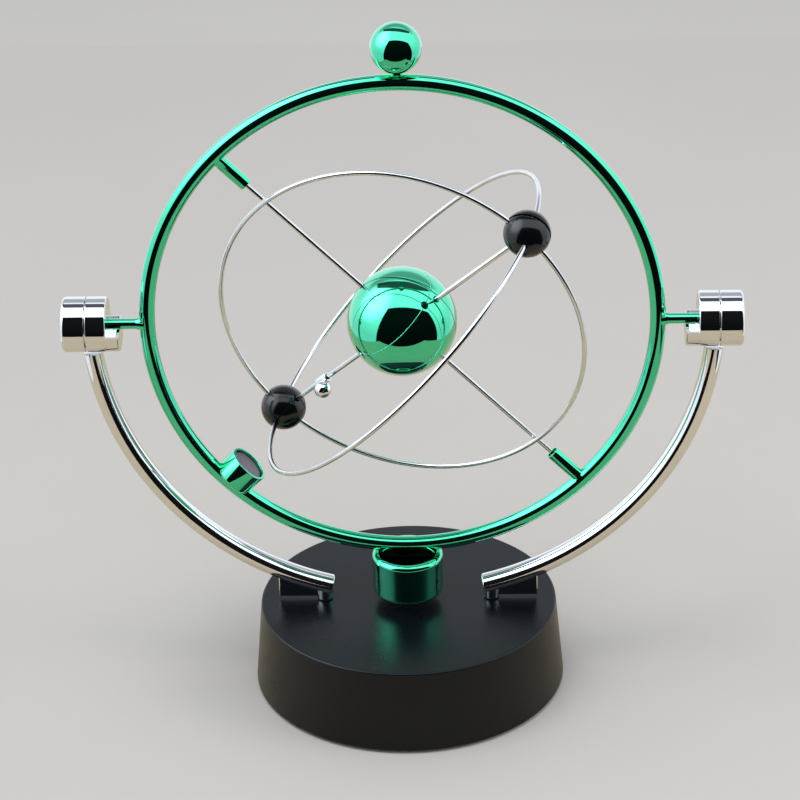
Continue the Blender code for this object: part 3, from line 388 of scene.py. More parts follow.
class Nodes:
    """Small helper that adds and links shader nodes."""

    def __init__(self, tree):
        self.tree = tree

    def add(self, kind, **values):
        node = self.tree.nodes.new("ShaderNode" + kind)
        for key, value in values.items():
            if hasattr(node, key):
                setattr(node, key, value)
            else:
                node.inputs[key.replace("_", " ")].default_value = value
        return node

    def link(self, output, socket):
        self.tree.links.new(output, socket)

    def noise(self, scale, detail=3.0, roughness=0.5, stretch=(1, 1, 1)):
        place = self.add("TexCoord").outputs["Object"]
        if stretch != (1, 1, 1):
            mapping = self.add("Mapping")
            mapping.inputs["Scale"].default_value = stretch
            self.link(place, mapping.inputs["Vector"])
            place = mapping.outputs["Vector"]
        texture = self.add("TexNoise", Scale=scale, Detail=detail, Roughness=roughness)
        self.link(place, texture.inputs["Vector"])
        return texture.outputs["Fac"]

    def specks(self, scale, size):
        """1 in small scattered dots, 0 elsewhere."""
        cells = self.add("TexVoronoi", Scale=scale, Randomness=1.0)
        self.link(self.add("TexCoord").outputs["Object"], cells.inputs["Vector"])
        return self.spread(cells.outputs["Distance"], 0.0, size, 1.0, 0.0)

    def spread(self, value, low, high, to_low, to_high):
        ranged = self.add("MapRange")
        for name, number in (("From Min", low), ("From Max", high), ("To Min", to_low), ("To Max", to_high)):
            ranged.inputs[name].default_value = number
        self.link(value, ranged.inputs["Value"])
        return ranged.outputs["Result"]

    def math(self, operation, first, second=0.0):
        node = self.add("Math", operation=operation)
        for socket, value in zip(node.inputs, (first, second)):
            if isinstance(value, (int, float)):
                socket.default_value = value
            else:
                self.link(value, socket)
        return node.outputs[0]

    def blend(self, factor, first, second):
        mixer = self.add("Mix", data_type="RGBA")
        self.link(factor, mixer.inputs["Factor"])
        mixer.inputs["A"].default_value = (*first, 1)
        mixer.inputs["B"].default_value = (*second, 1)
        return mixer.outputs["Result"]

    def colour(self, value):
        node = self.add("RGB")
        node.outputs[0].default_value = (*value, 1)
        return node.outputs[0]

    def mix(self, factor, first, second):
        mixer = self.add("Mix", data_type="RGBA")
        self.link(factor, mixer.inputs["Factor"])
        self.link(first, mixer.inputs["A"])
        self.link(second, mixer.inputs["B"])
        return mixer.outputs["Result"]

    def bump(self, height, distance, strength=1.0, below=None):
        node = self.add("Bump", Strength=strength, Distance=distance)
        self.link(height, node.inputs["Height"])
        if below is not None:
            self.link(below, node.inputs["Normal"])
        return node.outputs["Normal"]


def new_material(name):
    material = bpy.data.materials.new(name)
    material.use_nodes = True
    shader = material.node_tree.nodes["Principled BSDF"]
    return material, shader, Nodes(material.node_tree)


def painted_cup_shade_mask(nodes):
    """1 inside the magnet cup's bore, below its rim, where shade is painted into the plating's colour; 0
    elsewhere.
    """
    split = nodes.add("SeparateXYZ")
    nodes.link(nodes.add("TexCoord").outputs["Object"], split.inputs[0])
    x, y, z = split.outputs
    away = nodes.math("SQRT", nodes.math("ADD", nodes.math("MULTIPLY", x, x), nodes.math("MULTIPLY", y, y)))
    bore = CUP_RADIUS - CUP_WALL
    near = nodes.spread(away, bore + 0.02 * MM, bore + 0.08 * MM, 1.0, 0.0)
    top = PIVOT_HEIGHT + CUP_TOP
    low = nodes.spread(z, top - 1.2 * MM, top - 0.3 * MM, 1.0, 0.0)
    return nodes.math("MULTIPLY", near, low)


def plated(name, light, deep, rough, ripple, coat=0.0):
    """Bright electroplated moulding: faint tone drift, handling haze, dust specks and ripple, and painted
    shade that darkens the magnet cup's bore.
    """
    material, shader, nodes = new_material(name)
    shader.inputs["Metallic"].default_value = 1.0
    shader.inputs["Coat Weight"].default_value = coat
    shader.inputs["Coat Roughness"].default_value = 0.03
    drift = nodes.spread(nodes.noise(28.0, 4.0), *NOISE_SPAN, 0.0, 1.0)
    # Painted shade: inside the magnet cup's bore the plating's colour drops to near black, standing in for
    # the shade in the recess.
    painted_shade_tone = nodes.colour(tuple(channel * 0.06 for channel in deep))
    tone = nodes.mix(painted_cup_shade_mask(nodes), nodes.blend(drift, deep, light), painted_shade_tone)
    nodes.link(tone, shader.inputs["Base Color"])
    haze = nodes.spread(nodes.noise(90.0, 5.0, 0.6), 0.35, 0.75, rough[0], rough[1])
    dust = nodes.math("MULTIPLY", nodes.specks(1500.0, 0.12), 0.25)
    nodes.link(nodes.math("ADD", haze, dust), shader.inputs["Roughness"])
    wave = nodes.bump(nodes.noise(120.0, 2.0), ripple)
    pits = nodes.bump(nodes.specks(900.0, 0.1), 0.00001, 0.5, wave)
    nodes.link(pits, shader.inputs["Normal"])
    return material


def drawn_wire(name, tone):
    """Bright drawn steel wire with fine lengthwise marks and a little dulling."""
    material, shader, nodes = new_material(name)
    shader.inputs["Metallic"].default_value = 1.0
    dull = tuple(channel * 0.82 for channel in tone)
    drift = nodes.spread(nodes.noise(160.0, 4.0), *NOISE_SPAN, 0.0, 1.0)
    nodes.link(nodes.blend(drift, dull, tone), shader.inputs["Base Color"])
    haze = nodes.spread(nodes.noise(700.0, 3.0), *NOISE_SPAN, 0.07, 0.18)
    nodes.link(haze, shader.inputs["Roughness"])
    nodes.link(nodes.bump(nodes.noise(2600.0, 2.0), 0.000006, 0.6), shader.inputs["Normal"])
    return material


def moulded(name, tone, rough, grain, height, specular=0.5, lift=1.35):
    """Moulded plastic or rubber: fine spark-eroded grain, slight tone drift and handling marks."""
    material, shader, nodes = new_material(name)
    shader.inputs["Specular IOR Level"].default_value = specular
    pale = tuple(channel * lift for channel in tone)
    drift = nodes.spread(nodes.noise(35.0, 5.0, 0.6), *NOISE_SPAN, 0.0, 1.0)
    nodes.link(nodes.blend(drift, tone, pale), shader.inputs["Base Color"])
    smear = nodes.spread(nodes.noise(22.0, 4.0, 0.65), 0.35, 0.7, rough[0], rough[1])
    dust = nodes.math("MULTIPLY", nodes.specks(700.0, 0.07), 0.2)
    nodes.link(nodes.math("ADD", smear, dust), shader.inputs["Roughness"])
    fine = nodes.bump(nodes.noise(grain, 3.0, 0.6), height)
    nodes.link(fine, shader.inputs["Normal"])
    return material


def metal(name, tone, rough, stretch=(1, 1, 1)):
    """Plain turned or pressed metal with machining marks."""
    material, shader, nodes = new_material(name)
    shader.inputs["Metallic"].default_value = 1.0
    dull = tuple(channel * 0.7 for channel in tone)
    drift = nodes.spread(nodes.noise(220.0, 4.0), *NOISE_SPAN, 0.0, 1.0)
    nodes.link(nodes.blend(drift, dull, tone), shader.inputs["Base Color"])
    haze = nodes.spread(nodes.noise(400.0, 4.0), *NOISE_SPAN, *rough)
    nodes.link(haze, shader.inputs["Roughness"])
    nodes.link(nodes.bump(nodes.noise(1500.0, 3.0, 0.5, stretch), 0.00001), shader.inputs["Normal"])
    return material


# Plated: light and deep tone, roughness, ripple in metres, coat
GREEN = plated("green_chrome", (0.08, 0.78, 0.46), (0.05, 0.71, 0.39), (0.02, 0.05), 0.000003, 0.8)
CHROME = plated("chrome", (0.90, 0.91, 0.92), (0.82, 0.83, 0.85), (0.02, 0.06), 0.000004)
WIRE = drawn_wire("steel_wire", (0.86, 0.87, 0.89))
# Moulded: tone, roughness, grain's scale and height, specular level, lift of the paler patches
SATIN = moulded("black_satin", (0.0018, 0.0030, 0.0050), (0.26, 0.33), 2600.0, 0.00002, 0.30)
GLOSS = moulded("black_gloss", (0.0020, 0.0022, 0.0035), (0.13, 0.19), 1800.0, 0.000008, 0.5)
MAGNET = moulded("magnet", (0.10, 0.085, 0.10), (0.5, 0.75), 1400.0, 0.00006, 0.4, 2.2)
RUBBER = moulded("rubber", (0.02, 0.02, 0.02), (0.75, 0.9), 1200.0, 0.00004, 0.3)
GREY_PLASTIC = moulded("grey_plastic", (0.28, 0.28, 0.29), (0.4, 0.55), 1500.0, 0.00001)
JACKET = moulded("cell_jacket", (0.05, 0.16, 0.09), (0.2, 0.35), 400.0, 0.00001, 0.5, 1.6)
BOARD = moulded("board_green", (0.02, 0.16, 0.06), (0.3, 0.45), 900.0, 0.00002, 0.5, 1.5)
LEAD_RED = moulded("lead_red", (0.45, 0.015, 0.015), (0.35, 0.5), 1500.0, 0.00001)
LEAD_BLACK = moulded("lead_black", (0.015, 0.015, 0.015), (0.35, 0.5), 1500.0, 0.00001)
TRANSISTOR = moulded("transistor_black", (0.02, 0.02, 0.021), (0.35, 0.5), 2000.0, 0.00001)
# Metal: tone, roughness, stretch of the machining marks
SCREW = metal("screw_steel", (0.62, 0.62, 0.64), (0.18, 0.35))
BRASS = metal("brass", (0.80, 0.60, 0.28), (0.2, 0.38))
COPPER = metal("copper", (0.75, 0.36, 0.18), (0.25, 0.4), (1, 1, 12))

BY_SLOT = {
    "green_chrome": GREEN,
    "chrome": CHROME,
    "steel_wire": WIRE,
    "black_satin": SATIN,
    "black_gloss": GLOSS,
    "magnet": MAGNET,
    "rubber": RUBBER,
    "grey_plastic": GREY_PLASTIC,
    "cell_jacket": JACKET,
    "board_green": BOARD,
    "lead_red": LEAD_RED,
    "lead_black": LEAD_BLACK,
    "transistor_black": TRANSISTOR,
    "screw_steel": SCREW,
    "brass": BRASS,
    "copper": COPPER,
}


def dress_cad_nodes():
    """Gives every CAD node the full material of its slot."""
    for entry in frame["record"]["subparts"]:
        node = frame["nodes"][entry["node"]]
        for holder in node.material_slots:
            holder.material = BY_SLOT[entry["material_slot"]]


# ---------------------------------------------------------------- base and arms


def make_base():
    """The drum, open below, with a slight draft to its wall."""
    under = BASE_HEIGHT - BASE_TOP_WALL
    slope = (BASE_BOTTOM_RADIUS - BASE_TOP_RADIUS) / (BASE_HEIGHT - FLOOR_GAP)
    inside = BASE_TOP_RADIUS - BASE_WALL + slope * (BASE_HEIGHT - under)
    corners = [(0, BASE_HEIGHT), (BASE_TOP_RADIUS, BASE_HEIGHT, BASE_EDGE)]
    corners += [(BASE_BOTTOM_RADIUS, FLOOR_GAP, BASE_FOOT_EDGE)]
    corners += [(BASE_BOTTOM_RADIUS - BASE_WALL, FLOOR_GAP, BASE_INNER_EDGE)]
    corners += [(inside, under, BASE_INNER_CORNER), (0, under)]
    drum = flatten_normals(lathe("drum", soften(corners, 5), 160))
    fit(drum, "base_shell", "base", SATIN)


def arm_height(x):
    """Height of the arm's centre line at a distance from the middle."""
    return PIVOT_HEIGHT - sqrt(ARM_ARC_RADIUS**2 - x**2)


def make_arm_bar(name):
    """The arm's curved bar, a little wider than thick, its ends softly rounded."""
    low = asin(ARM_FOOT_X / ARM_ARC_RADIUS)
    high = pi / 2 - asin((PIVOT_HEIGHT - ARM_TOP_Z + ARM_TOP_INSET) / ARM_ARC_RADIUS)
    edge = ARM_END_EDGE
    start = low + edge / ARM_ARC_RADIUS
    rounding = [radians(15 * k) for k in range(6)]
    steps = 120
    sides = 40
    sections = [(low + edge * (1 - cos(t)) / ARM_ARC_RADIUS, edge * (1 - sin(t))) for t in rounding]
    sections += [(start + (high - start) * k / steps, 0.0) for k in range(steps + 1)]
    cage = bmesh.new()
    rows = []
    for angle, inset in sections:
        outward = Vector((sin(angle), 0, -cos(angle)))
        middle = Vector((0, 0, PIVOT_HEIGHT)) + outward * ARM_ARC_RADIUS
        row = []
        for i in range(sides):
            t = 2 * pi * i / sides
            thick = outward * (ARM_RADIUS - inset) * cos(t)
            wide = Vector((0, (ARM_HALF_WIDTH - inset) * sin(t), 0))
            row.append(cage.verts.new(middle + thick + wide))
        rows.append(row)
    grid_faces(cage, rows, close_rows=False)
    cage.faces.new(rows[0])
    cage.faces.new(rows[-1])
    return to_object(name, cage, 50.0)


def make_rib(name):
    """The slender foot under the arm, with softened edges."""
    low = BASE_HEIGHT + GAP + ARM_RIB_LIFT
    inner, outer = ARM_BOSS_X + ARM_RIB_SINK, ARM_RIB_OUT
    outline = [(inner, low), (outer, low), (outer, arm_height(outer)), (inner, arm_height(inner))]
    cage = bmesh.new()
    near = [cage.verts.new((x, -ARM_RIB_THICK / 2, z)) for x, z in outline]
    far = [cage.verts.new((x, ARM_RIB_THICK / 2, z)) for x, z in outline]
    cage.faces.new(near)
    cage.faces.new(list(reversed(far)))
    for i in range(4):
        j = (i + 1) % 4
        cage.faces.new((near[j], near[i], far[i], far[j]))
    edges = list(cage.edges)
    bmesh.ops.bevel(cage, geom=edges, offset=ARM_RIB_EDGE, segments=3, affect="EDGES", profile=0.5)
    return to_object(name, cage)


def make_arms():
    """Each arm's bar, boss and rib in one piece."""
    for side, sign in SIDES:
        arm = make_arm_bar(f"arm_bar_{side}")
        low = BASE_HEIGHT + GAP
        spot = Matrix.Translation((ARM_BOSS_X, 0, 0))
        boss = bar("boss", ARM_BOSS_RADIUS, low, arm_height(ARM_BOSS_X), spot, ARM_BOSS_EDGE)
        join(arm, boss, make_rib("rib"))
        if sign < 0:
            arm.data.transform(turn("Z", 180))
        flatten_normals(arm)
        fit(arm, f"arm_{side}", "base", CHROME)


def make_housing(side, sign, matrix):
    """The inner half of a pivot, with the half-round tray under the ring's pin."""
    inner = HOUSING_RADIUS - HOUSING_WALL
    floor = HOUSING_INNER_X + HOUSING_WALL
    seam = HOUSING_SEAM_X - SEAM_HALF
    bore = PIN_RADIUS + GAP
    corners = [(inner, seam, SEAM_INNER_EDGE), (HOUSING_RADIUS, seam, SEAM_EDGE)]
    corners += [(HOUSING_RADIUS, HOUSING_INNER_X, HOUSING_EDGE)]
    corners += [(bore, HOUSING_INNER_X, HOUSING_BORE_EDGE)]
    corners += [(bore, floor), (inner, floor, HOUSING_CORNER)]
    housing = lathe(f"housing_{side}", soften(corners, 4), 96, matrix)
    outer = HOUSING_RADIUS - TRAY_INSET
    back = HOUSING_INNER_X + TRAY_ROOT
    face = TRAY_X + TRAY_WALL
    corners = [(0, face), (outer - TRAY_WALL, face, TRAY_EDGE), (outer - TRAY_WALL, back)]
    corners += [(outer, back), (outer, TRAY_X, TRAY_EDGE), (0, TRAY_X)]
    tray = lathe("tray", soften(corners, 4), 96, matrix)
    reach = 2 * HOUSING_RADIUS
    span = sorted((sign * TRAY_RIM_DROP, -sign * reach))
    lid = box("lid", (span[0], -reach, TRAY_X - reach), (span[1], reach, HOUSING_SEAM_X), matrix)
    notch = bar("notch", PIN_RADIUS + 2 * GAP, TRAY_X - OVERSHOOT, floor, matrix)
    cut(tray, lid, notch)
    join(housing, tray)
    flatten_normals(housing)
    fit(housing, f"pivot_housing_{side}", "base", CHROME)


def make_cap(side, matrix):
    """The outer half of a pivot, with a crowned end face."""
    start = HOUSING_SEAM_X + SEAM_HALF
    hollow = HOUSING_RADIUS - HOUSING_WALL - GAP
    end = CAP_OUTER_X - HOUSING_WALL
    corners = [(0, CAP_OUTER_X), (HOUSING_RADIUS, CAP_OUTER_X - CAP_CROWN, CAP_EDGE)]
    corners += [(HOUSING_RADIUS, start, SEAM_EDGE), (hollow, start), (hollow, start - CAP_LIP)]
    corners += [(hollow - CAP_LIP, start - CAP_LIP), (hollow - CAP_LIP, end), (0, end)]
    cap = flatten_normals(lathe(f"cap_{side}", soften(corners, 6), 96, matrix))
    fit(cap, f"pivot_cap_{side}", "base", CHROME)


def make_pivots():
    for side, sign in SIDES:
        matrix = AT_PIVOT @ turn("Y", 90 * sign)
        make_housing(side, sign, matrix)
        make_cap(side, matrix)


# ---------------------------------------------------------------- swinging ring


def make_pin(side, sign):
    """A pin of the ring, with the journal that turns in a pivot."""
    corners = [(0, JOURNAL_END_X), (JOURNAL_RADIUS, JOURNAL_END_X, PIN_EDGE)]
    corners += [(JOURNAL_RADIUS, PIN_SHOULDER_X), (PIN_RADIUS, PIN_SHOULDER_X, PIN_EDGE)]
    corners += [(PIN_RADIUS, PIN_FLARE_X, PIN_FLARE), (PIN_RADIUS + PIN_FLARE, PIN_ROOT_X)]
    corners += [(0, PIN_ROOT_X)]
    return lathe(f"pin_{side}", soften(corners, 4), 40, AT_PIVOT @ turn("Y", 90 * sign))


def make_socket(number, angle):
    """A socket for an end of the axle."""
    bore = SOCKET_RADIUS - SOCKET_WALL
    deep = -SOCKET_FACE - SOCKET_DEPTH
    corners = [(0, deep), (bore, deep), (bore, -SOCKET_FACE, SOCKET_BORE_EDGE)]
    corners += [(SOCKET_RADIUS, -SOCKET_FACE, SOCKET_EDGE), (SOCKET_RADIUS, -SOCKET_ROOT)]
    corners += [(0, -SOCKET_ROOT)]
    return lathe(f"socket_{number}", soften(corners, 3), 48, AXLE_FRAME @ turn("Y", angle))


def make_side_cup():
    """The small cup on the ring's inner side."""
    bore = SIDE_CUP_RADIUS - SIDE_CUP_WALL
    deep = -(SIDE_CUP_FACE + SIDE_CUP_DEPTH)
    corners = [(0, deep), (bore, deep), (bore, -SIDE_CUP_FACE, SIDE_CUP_BORE_EDGE)]
    corners += [(SIDE_CUP_RADIUS, -SIDE_CUP_FACE, SIDE_CUP_EDGE)]
    corners += [(SIDE_CUP_RADIUS, -SIDE_CUP_ROOT, SIDE_CUP_FLARE), (0, -SIDE_CUP_ROOT)]
    return lathe("side_cup", soften(corners, 4), 72, AXLE_FRAME)


def make_web():
    """The flat web that holds the magnet down in the cup."""
    half = sqrt((CUP_RADIUS - CUP_WALL) ** 2 - (WEB_WIDTH / 2) ** 2) - GAP
    low = (-half, -WEB_WIDTH / 2, MAGNET_TOP + GAP)
    return box("web", low, (half, WEB_WIDTH / 2, CUP_TOP + WEB_HEAD), AT_PIVOT)


def make_ring():
    """The ring with its pins, sockets, side cup and web, one moulding."""
    ring = hoop("ring", RING_RADIUS, RING_TUBE, 320, 40, AT_PIVOT @ turn("X", 90))
    tools = [make_pin(side, sign) for side, sign in SIDES]
    tools += [make_socket(number, angle) for number, angle in ((1, -90), (2, 90))]
    tools += [make_side_cup(), make_web()]
    join(ring, *tools, angle=45.0)
    fit(ring, "outer_ring", "swing_ring", GREEN)


def make_ring_fittings():
    """The ball on top, the magnet cup below and the magnet in the side cup."""
    middle = RING_OUTER + TOP_BALL_LIFT + TOP_BALL_RADIUS
    waist = degrees(asin(NECK_RADIUS / TOP_BALL_RADIUS))
    profile = arc((0, middle), TOP_BALL_RADIUS, 90, -90 + waist, 56)
    profile[0] = (0, middle + TOP_BALL_RADIUS)
    seat = RING_OUTER - NECK_SINK
    profile += [(NECK_RADIUS + out * MM, seat + up * MM) for out, up in NECK_FLARE]
    profile += [(0, seat)]
    ball = lathe("crown_ball", profile, 96, AT_PIVOT)
    fit(ball, "top_ball", "swing_ring", GREEN)

    bore = CUP_RADIUS - CUP_WALL
    floor = CUP_BOTTOM + CUP_FLOOR
    corners = [(0, floor), (bore, floor, CUP_BORE_CORNER), (bore, CUP_TOP, CUP_BORE_EDGE)]
    corners += [(CUP_RADIUS, CUP_TOP, CUP_LIP), (CUP_RADIUS, CUP_BOTTOM, CUP_EDGE), (0, CUP_BOTTOM)]
    cup = flatten_normals(lathe("cup", soften(corners, 6), 128, AT_PIVOT))
    fit(cup, "magnet_cup", "swing_ring", GREEN)

    face = -SIDE_CUP_FACE - SIDE_MAGNET_SINK
    radius = SIDE_CUP_RADIUS - SIDE_CUP_WALL - GAP
    low = face - SIDE_MAGNET_THICK
    disc = bar("side_disc", radius, low, face, AXLE_FRAME, SIDE_MAGNET_EDGE, 64)
    fit(disc, "side_magnet", "swing_ring", MAGNET)


# ---------------------------------------------------------------- rotor


def half_ball(name, radius, wall, split, matrix, sides):
    """Half a hollow ball on +Z of its matrix, cut back by half the split, its rim softened."""
    inner = radius - wall
    start = degrees(asin(split / radius))
    inner_start = degrees(asin(split / inner))
    count = max(16, sides // 3)
    outside = arc((0, 0), radius, 90, start + RIM_STEP, count)
    inside = arc((0, 0), inner, inner_start + RIM_STEP, 90, count // 2)
    outside[0] = (0, radius)
    inside[-1] = (0, inner)
    rim = [(radius * cos(radians(start)) - RIM_EASE, split)]
    rim += [(inner * cos(radians(inner_start)) + RIM_EASE, split)]
    return lathe(name, outside + rim + inside, sides, matrix)


def make_wires():
    """The axle, the cross rod and the two orbits."""
    spindle = ROTOR_FRAME @ turn("Y", 90)
    axle = bar("spindle", AXLE_RADIUS, -AXLE_HALF, AXLE_HALF, spindle, AXLE_EDGE)
    fit(axle, "axle", "rotor", WIRE)
    rod = bar("bar", ROD_RADIUS, -ROD_HALF, ROD_HALF, ROD_FRAME, ROD_EDGE)
    fit(rod, "cross_rod", "rotor", WIRE)
    orbit_a = hoop("orbit_wire_a", ORBIT_A_RADIUS, WIRE_RADIUS, 240, 20, PLANE_A)
    fit(orbit_a, "orbit_ring_a", "rotor", WIRE)
    orbit_b = hoop("orbit_wire_b", ORBIT_B_RADIUS, WIRE_RADIUS, 240, 20, PLANE_B)
    fit(orbit_b, "orbit_ring_b", "rotor", WIRE)


def make_centre_ball():
    reach = 1.5 * CENTRE_BALL_RADIUS
    for name, angle in HALVES:
        matrix = ROTOR_FRAME @ turn("X", angle)
        half = half_ball(f"core_{name}", CENTRE_BALL_RADIUS, CENTRE_BALL_WALL, SEAM_HALF, matrix, 144)
        axle_way = bar("axle_way", AXLE_RADIUS + GAP, -reach, reach, ROTOR_FRAME @ turn("Y", 90))
        rod_way = bar("rod_way", ROD_RADIUS + GAP, -reach, reach, ROD_FRAME)
        cut(half, axle_way, rod_way)
        fit(half, f"centre_ball_{name}", "rotor", GREEN)


def make_weights():
    """The two weighted balls, in halves, cut where the orbits and the rod pass."""
    for name, split in WEIGHT_SPLITS.items():
        sign = 1 if name == "upper" else -1
        centre = ROTOR_FRAME @ Matrix.Translation((0, WEIGHT_Y, sign * WEIGHT_CENTRE))
        for half_name, angle in HALVES:
            skin = f"weight_{name}_{half_name}_skin"
            matrix = centre @ turn("X", angle)
            half = half_ball(skin, WEIGHT_RADIUS, WEIGHT_WALL, split / 2, matrix, 96)
            way_a = hoop("way_a", ORBIT_A_RADIUS, WIRE_RADIUS + GAP, 240, 16, PLANE_A)
            way_b = hoop("way_b", ORBIT_B_RADIUS, WIRE_RADIUS + GAP, 240, 16, PLANE_B)
            way_rod = bar("way_rod", ROD_RADIUS + GAP, -ROD_HALF - GAP, ROD_HALF + GAP, ROD_FRAME)
            cut(half, way_a, way_b, way_rod)
            fit(half, f"weight_{name}_{half_name}", "rotor", GLOSS)


def make_bead():
    """The bead on its sleeve, one piece that slides on the rod."""
    sleeve_radius = ROD_RADIUS + GAP + SLEEVE_WALL
    half = SLEEVE_LENGTH / 2
    place = ROD_FRAME @ Matrix.Translation((0, 0, BEAD_Z))
    corners = [(ROD_RADIUS + GAP, half), (sleeve_radius, half, SLEEVE_EDGE)]
    corners += [(sleeve_radius, -half, SLEEVE_EDGE), (ROD_RADIUS + GAP, -half)]
    sleeve = lathe("bead_sleeve", soften(corners, 4), 48, place)
    out = sleeve_radius + BEAD_RADIUS - BEAD_SINK
    lean = radians(BEAD_LEAN)
    spot = place @ Matrix.Translation((out * sin(lean), -out * cos(lean), 0))
    profile = arc((0, 0), BEAD_RADIUS, 90, -90, 33)
    profile[0] = (0, BEAD_RADIUS)
    profile[-1] = (0, -BEAD_RADIUS)
    ball = lathe("bead_ball", profile, 48, spot)
    join(sleeve, ball)
    reach = half + OVERSHOOT
    cut(sleeve, bar("bead_way", ROD_RADIUS + GAP, -reach, reach, place, sides=48))
    fit(sleeve, "balance_bead", "rotor", CHROME)


# ---------------------------------------------------------------- studio


def stage_plane(name, low, high):
    """A flat piece of the studio on the table plane."""
    cage = bmesh.new()
    corners = ((low[0], low[1]), (high[0], low[1]), (high[0], high[1]), (low[0], high[1]))
    cage.faces.new([cage.verts.new((x, y, 0)) for x, y in corners])
    plane = to_object(name, cage)
    return plane


def make_floor():
    """A pale floor for the eye, and a small wooden table that only the plating mirrors."""
    floor = stage_plane("studio_floor", (-FLOOR_HALF, -FLOOR_HALF), (FLOOR_HALF, FLOOR_HALF))
    floor.visible_glossy = False
    material, shader, nodes = new_material("floor_paint")
    tone = nodes.spread(nodes.noise(3.0, 4.0), *NOISE_SPAN, 0.0, 1.0)
    pale = nodes.blend(tone, FLOOR_TONE, tuple(channel * 1.05 for channel in FLOOR_TONE))
    nodes.link(pale, shader.inputs["Base Color"])
    rough = nodes.spread(nodes.noise(40.0, 3.0), *NOISE_SPAN, 0.6, 0.7)
    nodes.link(rough, shader.inputs["Roughness"])
    shader.inputs["Specular IOR Level"].default_value = 0.1
    floor.data.materials.append(material)

    table = stage_plane("mirrored_table", (-TABLE_REACH, TABLE_FRONT), (TABLE_REACH, TABLE_BACK))
    table.location.z = TABLE_LIFT
    table.visible_camera = False
    table.visible_diffuse = False
    table.visible_shadow = False
    material, shader, nodes = new_material("table_wood")
    grain = nodes.spread(nodes.noise(14.0, 5.0, 0.6, (1, 8, 1)), *NOISE_SPAN, 0.0, 1.0)
    wood = nodes.blend(grain, TABLE_TONE, tuple(channel * 0.8 for channel in TABLE_TONE))
    nodes.link(wood, shader.inputs["Base Color"])
    nodes.link(nodes.spread(grain, 0.0, 1.0, 0.6, 0.8), shader.inputs["Roughness"])
    table.data.materials.append(material)


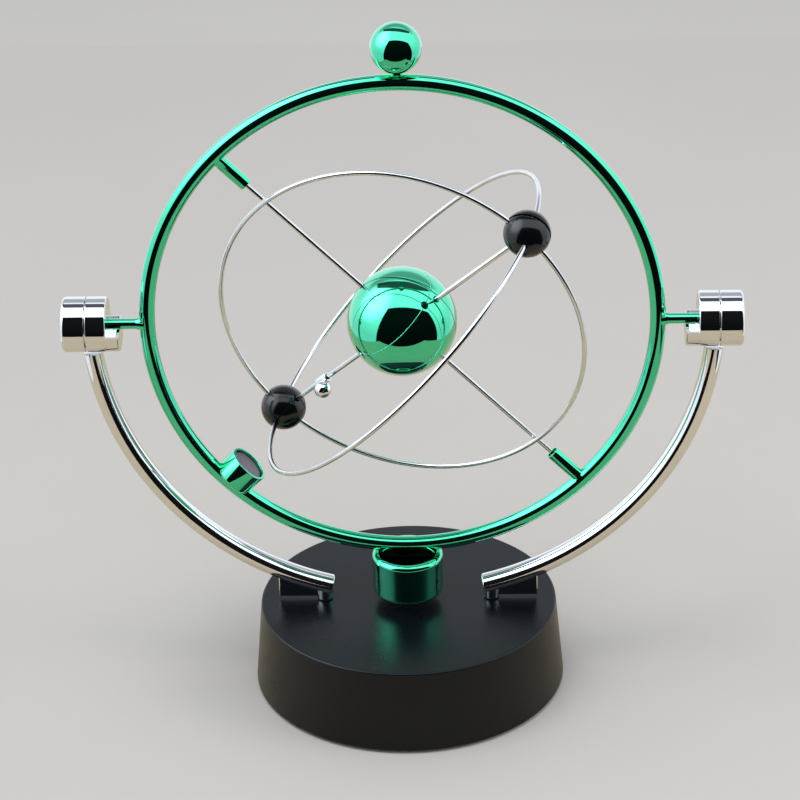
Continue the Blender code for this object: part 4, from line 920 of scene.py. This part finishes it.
def make_world():
    """A white light tent, open and dark in front, with a bowed dark panel in its roof."""
    world = bpy.data.worlds.new("light_tent")
    bpy.context.scene.world = world
    world.use_nodes = True
    nodes = Nodes(world.node_tree)
    split = nodes.add("SeparateXYZ")
    place = nodes.add("TexCoord").outputs["Generated"]
    nodes.link(place, split.inputs[0])
    x, y, z = split.outputs
    to_degrees = degrees(1.0)
    tiny = 0.001  # keeps the divisions below finite
    rise = nodes.math("MULTIPLY", nodes.math("ARCSINE", z), to_degrees)
    front = nodes.math("MULTIPLY", y, -1.0)

    heading = nodes.math("MULTIPLY", nodes.math("ARCTAN2", x, front), to_degrees)
    aside = nodes.math("ABSOLUTE", nodes.math("SUBTRACT", heading, OPENING_TURN))
    half = nodes.math("SUBTRACT", OPENING_HALF, nodes.math("MULTIPLY", rise, OPENING_TAPER))
    inside = nodes.spread(nodes.math("SUBTRACT", half, aside), -1.0, 1.0, 0.0, 1.0)
    slope = nodes.math("DIVIDE", z, nodes.math("MAXIMUM", front, tiny))
    below = nodes.spread(slope, OPENING_TOP - OPENING_BLUR, OPENING_TOP + OPENING_BLUR, 1.0, 0.0)
    opening = nodes.math("MULTIPLY", inside, below)

    high = nodes.math("MAXIMUM", z, tiny)
    across = nodes.math("SUBTRACT", nodes.math("DIVIDE", x, high), PANEL_SHIFT)
    bow = nodes.math("MULTIPLY", nodes.math("MULTIPLY", across, across), PANEL_BOW)
    back = nodes.math("SUBTRACT", nodes.math("DIVIDE", y, high), bow)
    behind_front = nodes.spread(back, PANEL_NEAR, PANEL_NEAR + PANEL_BLUR, 0.0, 1.0)
    before_back = nodes.spread(back, PANEL_FAR, PANEL_FAR + PANEL_BLUR, 1.0, 0.0)
    off_middle = nodes.math("ABSOLUTE", across)
    between_ends = nodes.spread(off_middle, PANEL_HALF, PANEL_HALF + 0.1, PANEL_DARK, 0.0)
    panel = nodes.math("MULTIPLY", behind_front, before_back)
    panel = nodes.math("MULTIPLY", panel, between_ends)
    dark = nodes.math("MAXIMUM", nodes.math("MULTIPLY", opening, OPENING_DARK), panel)

    sides = nodes.spread(rise, -15.0, 35.0, SIDES_LOW, 1.0)
    wall = nodes.spread(rise, 20.0, 30.0, BACK_LOW, BACK_HIGH)
    wall = nodes.math("MAXIMUM", wall, nodes.spread(rise, 50.0, 65.0, 0.0, 1.0))
    is_back = nodes.spread(y, 0.35, 0.65, 0.0, 1.0)
    tone = nodes.math("ADD", sides, nodes.math("MULTIPLY", is_back, nodes.math("SUBTRACT", wall, sides)))
    toward = nodes.add("VectorMath", operation="DOT_PRODUCT")
    nodes.link(place, toward.inputs[0])
    toward.inputs[1].default_value = GLOW_FROM
    glow = nodes.spread(toward.outputs["Value"], 0.80, 0.98, 1.0, GLOW_GAIN)
    lit = nodes.math("MULTIPLY", nodes.math("MULTIPLY", tone, glow), nodes.math("SUBTRACT", 1.0, dark))
    mirrored = nodes.math("MULTIPLY", lit, TENT_MIRRORED)
    glossy = nodes.add("LightPath").outputs["Is Glossy Ray"]
    change = nodes.math("MULTIPLY", glossy, nodes.math("SUBTRACT", mirrored, TENT_LIGHT))
    background = world.node_tree.nodes["Background"]
    background.inputs["Color"].default_value = (*TENT_TINT, 1.0)
    nodes.link(nodes.math("ADD", change, TENT_LIGHT), background.inputs["Strength"])


def make_lights():
    """Two soft lamps that light and shade, but aren't mirrored."""
    for name, place, size, power, tint in LAMPS:
        light = bpy.data.lights.new(name, "AREA")
        light.size = size
        light.energy = power
        light.color = tint
        lamp = bpy.data.objects.new(name, light)
        lamp.location = place
        lamp.rotation_euler = (LAMP_TARGET - Vector(place)).to_track_quat("-Z", "Y").to_euler()
        lamp.visible_glossy = False
        bpy.context.scene.collection.objects.link(lamp)


def make_camera():
    """The photograph's view of the toy."""
    yaw, pitch, roll = radians(CAMERA_YAW), radians(CAMERA_PITCH), radians(CAMERA_ROLL)
    ahead = Vector((sin(yaw) * cos(pitch), cos(yaw) * cos(pitch), sin(pitch)))
    level = Vector((cos(yaw), -sin(yaw), 0))
    above = level.cross(ahead)
    right = level * cos(roll) + above * sin(roll)
    up = above * cos(roll) - level * sin(roll)
    data = bpy.data.cameras.new("view")
    data.lens = CAMERA_LENS
    data.sensor_width = 36.0
    data.clip_end = 50.0
    camera = bpy.data.objects.new("view", data)
    matrix = Matrix((right, up, -ahead)).transposed().to_4x4()
    matrix.translation = CAMERA_PLACE
    camera.matrix_world = matrix
    bpy.context.scene.collection.objects.link(camera)
    bpy.context.scene.camera = camera


# ---------------------------------------------------------------- everything together

dress_cad_nodes()
make_base()
make_arms()
make_pivots()
make_ring()
make_ring_fittings()
make_wires()
make_centre_ball()
make_weights()
make_bead()
make_floor()
make_world()
make_lights()
make_camera()
bpy.context.scene.view_settings.view_transform = "Standard"
